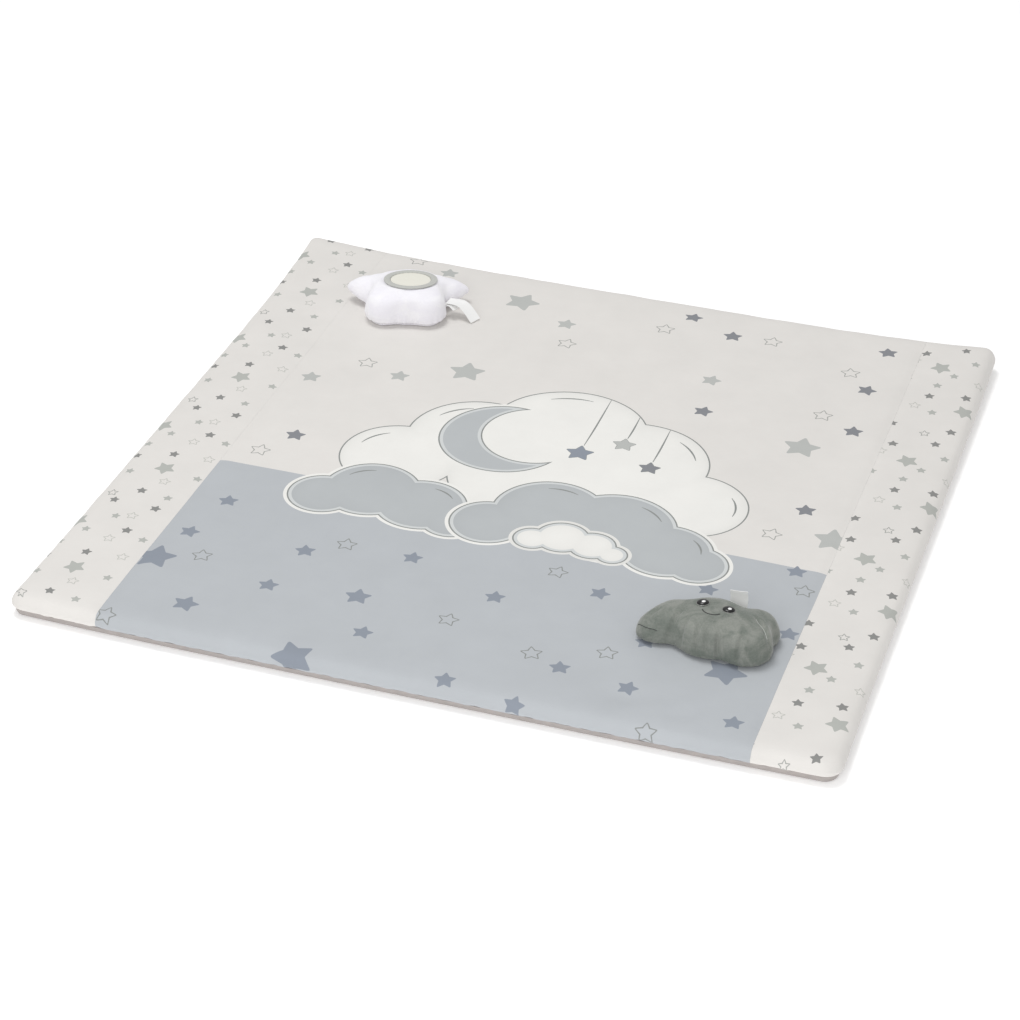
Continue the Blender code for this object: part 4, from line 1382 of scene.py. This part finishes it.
@dataclass
class StuffedBody:
    """A toy's plush body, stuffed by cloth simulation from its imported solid."""
    node: str
    name: str
    slot: str
    seam_z: float
    plush: ShortPilePlush
    arms: tuple[Arm, ...] = ()
    low_seam_z: float = 0.0395
    undercut: float = 6.0 * MM
    folds: tuple[Fold, ...] = ()
    under: Matrix | None = None
    under_radius: float = 0.041
    fill: float = 0.7
    shrink: float = 1.0 * MM
    voxel: float = 3.6 * MM
    pressure: float = 4.0
    cap: float = 2.0 * MM
    frames: int = 20
    rest_z: float = 0.0303
    seam_depth: float = 1.5 * MM

    def start(self) -> bpy.types.Object:
        """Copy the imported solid, slightly smaller, as an even mesh."""
        source = bpy.data.objects[self.node]
        mesh = source.data.copy()
        mesh.name = self.name
        shell = bmesh.new()
        shell.from_mesh(mesh)
        bmesh.ops.remove_doubles(shell, verts=shell.verts, dist=0.01 * MM)
        shell.normal_update()
        for vert in shell.verts:
            vert.co -= vert.normal * self.shrink
        shell.to_mesh(mesh)
        shell.free()
        mesh.materials.clear()
        body = bpy.data.objects.new(self.name, mesh)
        bpy.context.scene.collection.objects.link(body)
        apply_modifier(body, "REMESH", {"mode": "VOXEL", "voxel_size": self.voxel})
        apply_modifier(body, "SMOOTH", {"iterations": 5, "factor": 0.5})
        return body

    def stuff(self, body: bpy.types.Object) -> None:
        """Fill the body by cloth simulation, with no point moving further than the cap."""
        before = coordinates(body.data)
        modifier = body.modifiers.new("stuffing", "CLOTH")
        settings = modifier.settings
        settings.use_pressure = True
        settings.uniform_pressure_force = self.pressure
        settings.effector_weights.gravity = 0.0
        settings.quality = 5
        modifier.point_cache.frame_start = 1
        modifier.point_cache.frame_end = self.frames
        scene = bpy.context.scene
        for frame in range(1, self.frames + 1):
            scene.frame_set(frame)
        graph = bpy.context.evaluated_depsgraph_get()
        after = coordinates(body.evaluated_get(graph).data)
        body.modifiers.remove(modifier)
        scene.frame_set(1)
        move = after - before
        length = np.linalg.norm(move, axis=1, keepdims=True)
        move *= np.minimum(1.0, self.cap / np.maximum(length, 1e-9))
        write_coordinates(body.data, before + move)

    def sew(self, body: bpy.types.Object) -> None:
        """Draw the seam in round the widest line of the body, with small puckers beside it."""
        mesh = body.data
        places = coordinates(mesh)
        normals = np.zeros(len(mesh.vertices) * 3)
        mesh.vertices.foreach_get("normal", normals)
        normals = normals.reshape(-1, 3)
        level = np.hypot(normals[:, 0], normals[:, 1])
        height = places[:, 2]
        drop = self.seam_z - self.low_seam_z
        above = 1.0 - smooth_step((height - self.seam_z) / (0.65 * (height.max() - self.seam_z)))
        squeeze = (self.low_seam_z - self.rest_z) / (self.seam_z - self.rest_z)
        places[:, 2] = np.where(height > self.seam_z, height - drop * above,
                                self.rest_z + (height - self.rest_z) * squeeze)
        away = places[:, 2] - self.low_seam_z
        line = np.exp(-((away / (1.8 * MM)) ** 2))
        beside = np.exp(-np.abs(away) / (7.0 * MM))
        centre = places.mean(axis=0)
        around = np.arctan2(places[:, 1] - centre[1], places[:, 0] - centre[0]) * 0.08
        pucker = wave_sum(around, (0.009, 0.013, 0.021), 71)
        under = self.undercut * smooth_step((-away - 0.5 * MM) / (5.0 * MM))
        inward = (self.seam_depth * line + 0.8 * MM * beside * pucker + under) * level
        places[:, :2] -= normals[:, :2] * inward[:, None]
        for arm in self.arms:
            start, run = np.array(arm.start), np.array(arm.tip) - np.array(arm.start)
            unit = run / math.sqrt(run @ run)
            across = np.array((-unit[1], unit[0]))
            offset = places[:, :2] - start
            share = arm.narrow * smooth_step((offset @ run) / (run @ run))
            places[:, :2] -= across * ((offset @ across) * share)[:, None]
            places[:, 2] += (arm.tip_z - places[:, 2]) * share
        for fold in self.folds:
            start, end = np.array(fold.start), np.array(fold.end)
            run = end - start
            along = ((places[:, :2] - start) @ run) / (run @ run)
            across = (places[:, 0] - start[0]) * run[1] - (places[:, 1] - start[1]) * run[0]
            across = across / math.sqrt(run @ run) / fold.half_width
            fade = smooth_step(np.minimum(along, 1.0 - along) * 3.0) * smooth_step(normals[:, 2] * 3.0)
            depth = fold.depth * fade * (np.exp(-across ** 2) - 0.4 * np.exp(-((np.abs(across) - 2.0) ** 2)))
            places -= normals * depth[:, None]
        if self.under is not None:
            local = places - np.array(self.under.translation)
            turned = local @ np.array(self.under.to_3x3())
            inside = smooth_step((self.under_radius - np.hypot(turned[:, 0], turned[:, 1])) / (3.0 * MM))
            over = np.maximum(turned[:, 2] + 0.4 * MM, 0.0) * inside * (turned[:, 2] > -8.0 * MM)
            places[:, 2] -= over
        places[:, 2] = np.maximum(places[:, 2], self.rest_z)
        write_coordinates(mesh, places)

    def build(self) -> bpy.types.Object:
        """Model the stuffed body and dress it."""
        body = self.start()
        self.stuff(body)
        apply_modifier(body, "SUBSURF", {"levels": 1, "render_levels": 1})
        self.sew(body)
        body.data.materials.append(self.plush.material())
        activate(body)
        bpy.ops.object.shade_smooth()
        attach(body, BODY)
        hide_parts(self.node)
        return body


@dataclass
class RibbonLabel:
    """A blank satin label: a flat ribbon that leaves a seam and bends to its end."""
    name: str
    node: str
    body: str
    path: tuple[tuple[float, float, float], ...]
    across: tuple[float, float, float]
    width: float
    thickness: float = 0.7 * MM
    rows: int = 6

    def build(self, material: bpy.types.Material) -> bpy.types.Object:
        """Model the ribbon and dress it.

        Args:
            material: The satin.

        Returns:
            The ribbon.
        """
        path = smooth_path(list(self.path), 6)
        deselect_all()
        bpy.ops.mesh.primitive_grid_add(x_subdivisions=len(path) - 1, y_subdivisions=self.rows, size=1.0)
        ribbon = bpy.context.object
        ribbon.name = self.name
        ribbon.data.name = self.name
        across = Vector(self.across)
        places = coordinates(ribbon.data)
        moved = []
        for x, y, _ in places:
            index = round((x + 0.5) * (len(path) - 1))
            along = path[min(index + 1, len(path) - 1)] - path[max(index - 1, 0)]
            along.normalize()
            side = (across - along * across.dot(along)).normalized()
            lift = along.cross(side).normalized()
            cup = 0.6 * MM * (4.0 * y * y - 0.5)
            moved.append(path[index] + side * y * self.width + lift * cup)
        write_coordinates(ribbon.data, np.array([tuple(place) for place in moved]))
        apply_modifier(ribbon, "SOLIDIFY", {"thickness": self.thickness, "offset": 0.0})
        apply_modifier(ribbon, "BEVEL", {"width": 0.15 * MM, "segments": 1, "limit_method": "ANGLE"})
        ribbon.data.materials.append(material)
        smooth_shaded(ribbon, 40.0)
        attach(ribbon, BODY)
        if self.node:
            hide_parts(self.node)
        return ribbon


@dataclass
class StarToy:
    """The lilac-white star with its ringed mirror and folded label."""
    centre: tuple[float, float] = (-0.297, 0.335)
    turn: float = math.radians(17.0)
    ring_local: tuple[float, float] = (0.0046, 0.0004)
    ring_seat: float = 0.0748
    ring_tilt: float = math.radians(7.6)
    ring_radius: float = 0.0370
    hole_radius: float = 0.0280
    ring_thickness: float = 0.003
    arms: tuple[Arm, ...] = (
        Arm((-0.345, 0.336), (-0.390, 0.337), 0.50, 0.056), Arm((-0.258, 0.362), (-0.223, 0.387), 0.50, 0.054),
        Arm((-0.316, 0.279), (-0.327, 0.247), 0.30, 0.046), Arm((-0.249, 0.299), (-0.221, 0.278), 0.30, 0.044),
        Arm((-0.311, 0.381), (-0.324, 0.423), 0.50, 0.054),
    )

    def seat(self) -> Matrix:
        """Give the place and tilt of the ring on the star."""
        turned = Matrix.Rotation(self.turn, 4, "Z")
        local = turned @ Vector((self.ring_local[0], self.ring_local[1], self.ring_seat + GAP))
        middle = Matrix.Translation(Vector((self.centre[0], self.centre[1], 0.0)) + local)
        return middle @ turned @ Matrix.Rotation(-self.ring_tilt, 4, "X")

    def build_ring(self) -> bpy.types.Object:
        """Model the gathered cloth ring round the mirror."""
        middle = 0.5 * (self.ring_radius + self.hole_radius)
        tube = 0.5 * (self.ring_radius - self.hole_radius)
        deselect_all()
        bpy.ops.mesh.primitive_torus_add(major_segments=144, minor_segments=16, major_radius=middle,
                                         minor_radius=tube)
        ring = bpy.context.object
        ring.name = "star_toy_ring_trim"
        ring.data.name = ring.name
        places = coordinates(ring.data)
        angle = np.arctan2(places[:, 1], places[:, 0])
        away = np.hypot(places[:, 0], places[:, 1]) - middle
        gathers = 0.25 * MM * wave_sum(angle * middle, (0.0052, 0.0071), 81) * (0.6 - away / tube * 0.4)
        flat = 0.5 * self.ring_thickness / tube
        channel = 0.35 * MM * np.exp(-(((away - 0.55 * tube) / (0.6 * MM)) ** 2)) * (places[:, 2] > 0.0)
        places[:, 2] = places[:, 2] * flat + 0.5 * self.ring_thickness + gathers * (places[:, 2] > 0.0) - channel
        write_coordinates(ring.data, places)
        ring.matrix_world = self.seat()
        settle(ring)
        ring.data.materials.append(TrimCloth().material())
        smooth_shaded(ring, 60.0)
        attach(ring, BODY)
        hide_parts("star_toy_ring")
        return ring

    def build_mirror(self) -> bpy.types.Object:
        """Model the soft mirror disc with its rolled rim."""
        deselect_all()
        bpy.ops.mesh.primitive_cylinder_add(vertices=96, radius=self.hole_radius - GAP, depth=1.5 * MM,
                                            location=(0.0, 0.0, 0.75 * MM))
        mirror = bpy.context.object
        mirror.name = "star_toy_mirror_film"
        mirror.data.name = mirror.name
        settle(mirror)
        bpy.ops.object.mode_set(mode="EDIT")
        bpy.ops.mesh.select_all(action="DESELECT")
        bpy.ops.object.mode_set(mode="OBJECT")
        for polygon in mirror.data.polygons:
            polygon.select = polygon.normal.z > 0.9
        bpy.ops.object.mode_set(mode="EDIT")
        bpy.ops.mesh.select_mode(type="FACE")
        for _ in range(8):
            bpy.ops.mesh.inset(thickness=3.2 * MM, depth=0.0)
        bpy.ops.object.mode_set(mode="OBJECT")
        places = coordinates(mirror.data)
        away = np.hypot(places[:, 0], places[:, 1]) / self.hole_radius
        top = places[:, 2] > 1.0 * MM
        places[:, 2] += top * 0.3 * MM * (1.0 - away ** 2)
        write_coordinates(mirror.data, places)
        apply_modifier(mirror, "BEVEL", {"width": 0.3 * MM, "segments": 2, "limit_method": "ANGLE"})
        mirror.matrix_world = self.seat()
        settle(mirror)
        mirror.data.materials.append(MirrorFoil().material())
        smooth_shaded(mirror, 40.0)
        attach(mirror, BODY)
        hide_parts("star_toy_mirror")
        return mirror

    def build(self, satin: bpy.types.Material) -> list[bpy.types.Object]:
        """Model and dress the whole star toy.

        Args:
            satin: The labels' material.

        Returns:
            The toy's pieces.
        """
        plush = ShortPilePlush("short_pile_plush_lilac_white", "fdfcff", "f6f4fb", 0.6)
        body = StuffedBody("star_toy_body", "star_toy_plush", "lilac_white_plush", 0.053, plush,
                           arms=self.arms, under=self.seat(), fill=0.75)
        pieces = [body.build(), self.build_ring(), self.build_mirror()]
        upper = RibbonLabel("star_label_upper_leaf", "star_toy_label", "star_toy_plush",
                            ((-0.2400, 0.3420, 0.0505), (-0.2220, 0.3405, 0.0508), (-0.2110, 0.3385, 0.0450),
                             (-0.1970, 0.3330, 0.0318)), (0.48, 0.88, 0.0), 0.018)
        lower = RibbonLabel("star_label_lower_leaf", "", "star_toy_plush",
                            ((-0.2410, 0.3405, 0.0490), (-0.2300, 0.3370, 0.0485), (-0.2240, 0.3345, 0.0450)),
                            (0.48, 0.88, 0.0), 0.017)
        pieces += [upper.build(satin), lower.build(satin)]
        return pieces


@dataclass
class CloudToy:
    """The grey-green cloud with its smiling face and standing label."""
    centre: tuple[float, float] = (0.305, -0.308)
    eye_places: tuple[tuple[float, float], ...] = ((0.2912, -0.3003), (0.3230, -0.3055))
    eye_radius: float = 0.0074
    smile: tuple[tuple[float, float], ...] = ((0.2940, -0.3145), (0.2975, -0.3192), (0.3035, -0.3222),
                                             (0.3105, -0.3220), (0.3158, -0.3185))
    folds: tuple[Fold, ...] = (
        Fold((0.258, -0.346), (0.274, -0.312), 2.8 * MM, 2.4 * MM),
        Fold((0.274, -0.352), (0.286, -0.326), 2.4 * MM, 2.0 * MM),
        Fold((0.232, -0.334), (0.246, -0.314), 2.4 * MM, 1.8 * MM),
        Fold((0.296, -0.362), (0.298, -0.334), 2.2 * MM, 2.4 * MM),
        Fold((0.312, -0.364), (0.306, -0.342), 2.0 * MM, 2.0 * MM),
        Fold((0.328, -0.365), (0.319, -0.340), 2.2 * MM, 2.4 * MM),
        Fold((0.342, -0.366), (0.352, -0.336), 2.6 * MM, 2.6 * MM),
        Fold((0.380, -0.336), (0.352, -0.300), 2.6 * MM, 3.0 * MM),
        Fold((0.318, -0.316), (0.346, -0.320), 1.8 * MM, 1.4 * MM),
    )
    right_seam: tuple[tuple[float, float], ...] = ((0.3560, -0.3090), (0.3665, -0.3180), (0.3745, -0.3290))
    left_seam: tuple[tuple[float, float], ...] = ((0.2235, -0.3300), (0.2295, -0.3350), (0.2380, -0.3385),
                                                  (0.2480, -0.3390))

    def build_eye(self, side: str, place: tuple[float, float], tree: BVHTree,
                  materials: list[bpy.types.Material]) -> bpy.types.Object:
        """Model one round eye with its pale rim and white glint, set on the plush. The glint is a painted highlight:
        a white disc that stands for the light's reflection on the eye.

        Args:
            side: left or right.
            place: The eye's x and y.
            tree: The plush's faces.
            materials: Black, pale rim and the white of the glint's painted highlight.

        Returns:
            The eye.
        """
        hit, normal, _, _ = tree.ray_cast(Vector((place[0], place[1], 0.2)), -UP)
        deselect_all()
        bpy.ops.mesh.primitive_uv_sphere_add(segments=40, ring_count=20, radius=self.eye_radius)
        eye = bpy.context.object
        eye.scale = (1.0, 1.0, 0.42)
        settle(eye)
        bpy.ops.object.mode_set(mode="EDIT")
        bpy.ops.mesh.select_all(action="SELECT")
        bpy.ops.mesh.bisect(plane_co=(0.0, 0.0, -0.8 * MM), plane_no=(0.0, 0.0, 1.0), clear_inner=True,
                            use_fill=True)
        bpy.ops.object.mode_set(mode="OBJECT")
        eye.data.materials.append(materials[0])
        deselect_all()
        bpy.ops.mesh.primitive_torus_add(major_segments=40, minor_segments=8, minor_radius=0.45 * MM,
                                         major_radius=self.eye_radius + 0.1 * MM)
        rim = bpy.context.object
        rim.data.materials.append(materials[1])
        # The glint is a painted highlight: a white disc set off the eye's middle where the light's reflection falls
        deselect_all()
        bpy.ops.mesh.primitive_uv_sphere_add(segments=24, ring_count=12, radius=2.3 * MM,
                                             location=(1.4 * MM, -1.7 * MM, 2.85 * MM))
        glint = bpy.context.object
        glint.scale = (1.0, 1.0, 0.25)
        settle(glint)
        glint.data.materials.append(materials[2])
        activate(eye)
        rim.select_set(True)
        glint.select_set(True)
        bpy.ops.object.join()
        eye.name = f"cloud_toy_eye_{side}_disc"
        eye.data.name = eye.name
        tilt = UP.rotation_difference(normal)
        eye.matrix_world = Matrix.Translation(hit + normal * 0.5 * MM) @ tilt.to_matrix().to_4x4()
        settle(eye)
        smooth_shaded(eye, 40.0)
        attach(eye, BODY)
        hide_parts(f"cloud_toy_eye_{side}")
        return eye

    def build_thread(self, name: str, points: tuple, radius: float, tree: BVHTree,
                     material: bpy.types.Material) -> bpy.types.Object:
        """Model one line of thread that lies on the plush.

        Args:
            name: The piece's name.
            points: Places that the thread passes over.
            radius: The thread's radius.
            tree: The plush's faces.
            material: The thread's material.

        Returns:
            The thread.
        """
        path = smooth_path([(x, y, 0.0) for x, y in points], 8)
        curve = bpy.data.curves.new(name, "CURVE")
        curve.dimensions = "3D"
        curve.bevel_depth = radius
        curve.bevel_resolution = 2
        curve.use_fill_caps = True
        spline = curve.splines.new("POLY")
        spline.points.add(len(path) - 1)
        for point, place in zip(spline.points, path):
            hit, normal, _, _ = tree.ray_cast(Vector((place.x, place.y, 0.2)), -UP)
            point.co = (*(hit + normal * radius * 0.4), 1.0)
        thread = bpy.data.objects.new(name, curve)
        bpy.context.scene.collection.objects.link(thread)
        activate(thread)
        bpy.ops.object.convert(target="MESH")
        thread = bpy.context.object
        thread.data.materials.append(material)
        smooth_shaded(thread, 60.0)
        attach(thread, BODY)
        return thread

    def build(self, satin: bpy.types.Material) -> list[bpy.types.Object]:
        """Model and dress the whole cloud toy.

        Args:
            satin: The label's material.

        Returns:
            The toy's pieces.
        """
        plush = ShortPilePlush("short_pile_plush_grey_green", "979993", "6f766f", 0.45)
        body = StuffedBody("cloud_toy_body", "cloud_toy_plush", "grey_green_plush", 0.050, plush,
                           folds=self.folds, fill=0.75, low_seam_z=0.0355).build()
        tree = surface_tree(body)
        # The third finish dresses the glints, a painted highlight in white
        eye_materials = [GlossyPlastic("moulded_abs_black", "060607").material(),
                         GlossyPlastic("moulded_abs_pale_rim", "8f928d", 0.4).material(),
                         GlossyPlastic("moulded_abs_white_glint", "fbfbfa", 0.4).material()]
        pieces = [body]
        for side, place in zip(("left", "right"), self.eye_places):
            pieces.append(self.build_eye(side, place, tree, eye_materials))
        dark_thread = SpunThread("spun_polyester_thread_charcoal", "3c3e3d").material()
        pieces.append(self.build_thread("cloud_toy_smile_thread", self.smile, 0.55 * MM, tree, dark_thread))
        pale_thread = SpunThread("spun_polyester_thread_pale", "c6cac4").material()
        pieces.append(self.build_thread("cloud_toy_right_seam_thread", self.right_seam, 0.4 * MM, tree, pale_thread))
        pieces.append(self.build_thread("cloud_toy_left_seam_thread", self.left_seam, 0.35 * MM, tree, dark_thread))
        label = RibbonLabel("cloud_label_leaf", "cloud_toy_label", "cloud_toy_plush",
                            ((0.3250, -0.2660, 0.0460), (0.3247, -0.2602, 0.0610), (0.3238, -0.2606, 0.0728)),
                            (1.0, 0.0, 0.0), 0.021)
        pieces.append(label.build(satin))
        return pieces


# The studio


@dataclass
class Studio:
    """White paper, soft light and the camera at the photo's angle."""
    camera_place: tuple[float, float, float] = (0.911065542, -3.03531743, 1.92803683)
    azimuth: float = 0.302754975
    elevation: float = 0.555460527
    roll: float = 0.0229543109
    lens: float = 103.179
    sensor: float = 36.0
    sky: float = 0.55
    floor_size: float = 8.0

    def build_camera(self) -> None:
        """Place the camera where the photo was taken from."""
        data = bpy.data.cameras.new("photo_camera")
        data.lens = self.lens
        data.sensor_width = self.sensor
        data.clip_end = 50.0
        camera = bpy.data.objects.new("photo_camera", data)
        bpy.context.scene.collection.objects.link(camera)
        forward = Vector((-math.sin(self.azimuth) * math.cos(self.elevation),
                          math.cos(self.azimuth) * math.cos(self.elevation), -math.sin(self.elevation)))
        right = forward.cross(UP).normalized()
        upward = right.cross(forward)
        turned_right = right * math.cos(self.roll) + upward * math.sin(self.roll)
        turned_up = upward * math.cos(self.roll) - right * math.sin(self.roll)
        matrix = Matrix((turned_right, turned_up, -forward)).transposed().to_4x4()
        matrix.translation = Vector(self.camera_place)
        camera.matrix_world = matrix
        bpy.context.scene.camera = camera

    def build_light(self) -> None:
        """Hang a soft light to the far left and a low fill on the near side, under a white sky."""
        world = bpy.data.worlds.new("white_studio")
        world.use_nodes = True
        background = world.node_tree.nodes["Background"]
        background.inputs["Color"].default_value = (1.0, 1.0, 1.0, 1.0)
        background.inputs["Strength"].default_value = self.sky
        bpy.context.scene.world = world
        self.build_soft_box("key_soft_box", Vector((-1.0, 0.4, 4.5)), 1.6, 74.0)
        self.build_soft_box("fill_soft_box", Vector((0.3, -2.8, 1.5)), 1.4, 26.0)

    def build_soft_box(self, name: str, place: Vector, size: float, power: float) -> None:
        """Hang one square soft light that looks at the middle of the mat.

        Args:
            name: The light's name.
            place: Where it hangs.
            size: Its side in metres.
            power: Its power in watts.
        """
        data = bpy.data.lights.new(name, "AREA")
        data.shape = "SQUARE"
        data.size = size
        data.energy = power
        light = bpy.data.objects.new(name, data)
        bpy.context.scene.collection.objects.link(light)
        light.matrix_world = Matrix.Translation(place) @ place.to_track_quat("Z", "Y").to_matrix().to_4x4()

    def build_floor(self) -> None:
        """Lay the white paper under the mat."""
        deselect_all()
        bpy.ops.mesh.primitive_plane_add(size=self.floor_size, location=(0.0, 0.0, 0.0))
        floor = bpy.context.object
        floor.name = "studio_paper"
        floor.data.materials.append(StudioPaper().material())

    def build(self) -> None:
        """Set the whole studio up."""
        scene = bpy.context.scene
        scene.view_settings.view_transform = "Standard"
        self.build_camera()
        self.build_light()
        self.build_floor()


def main() -> None:
    """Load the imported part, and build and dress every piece."""
    logging.basicConfig(level=logging.INFO, format="%(name)s: %(message)s")
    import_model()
    Studio().build()
    pieces = PlayMat().build()
    satin = SatinRibbon().material()
    pieces += StarToy().build(satin)
    pieces += CloudToy().build(satin)
    for piece in pieces:
        LOG.info("%s: %d faces", piece.name, len(piece.data.polygons))


if __name__ == "__main__":
    main()
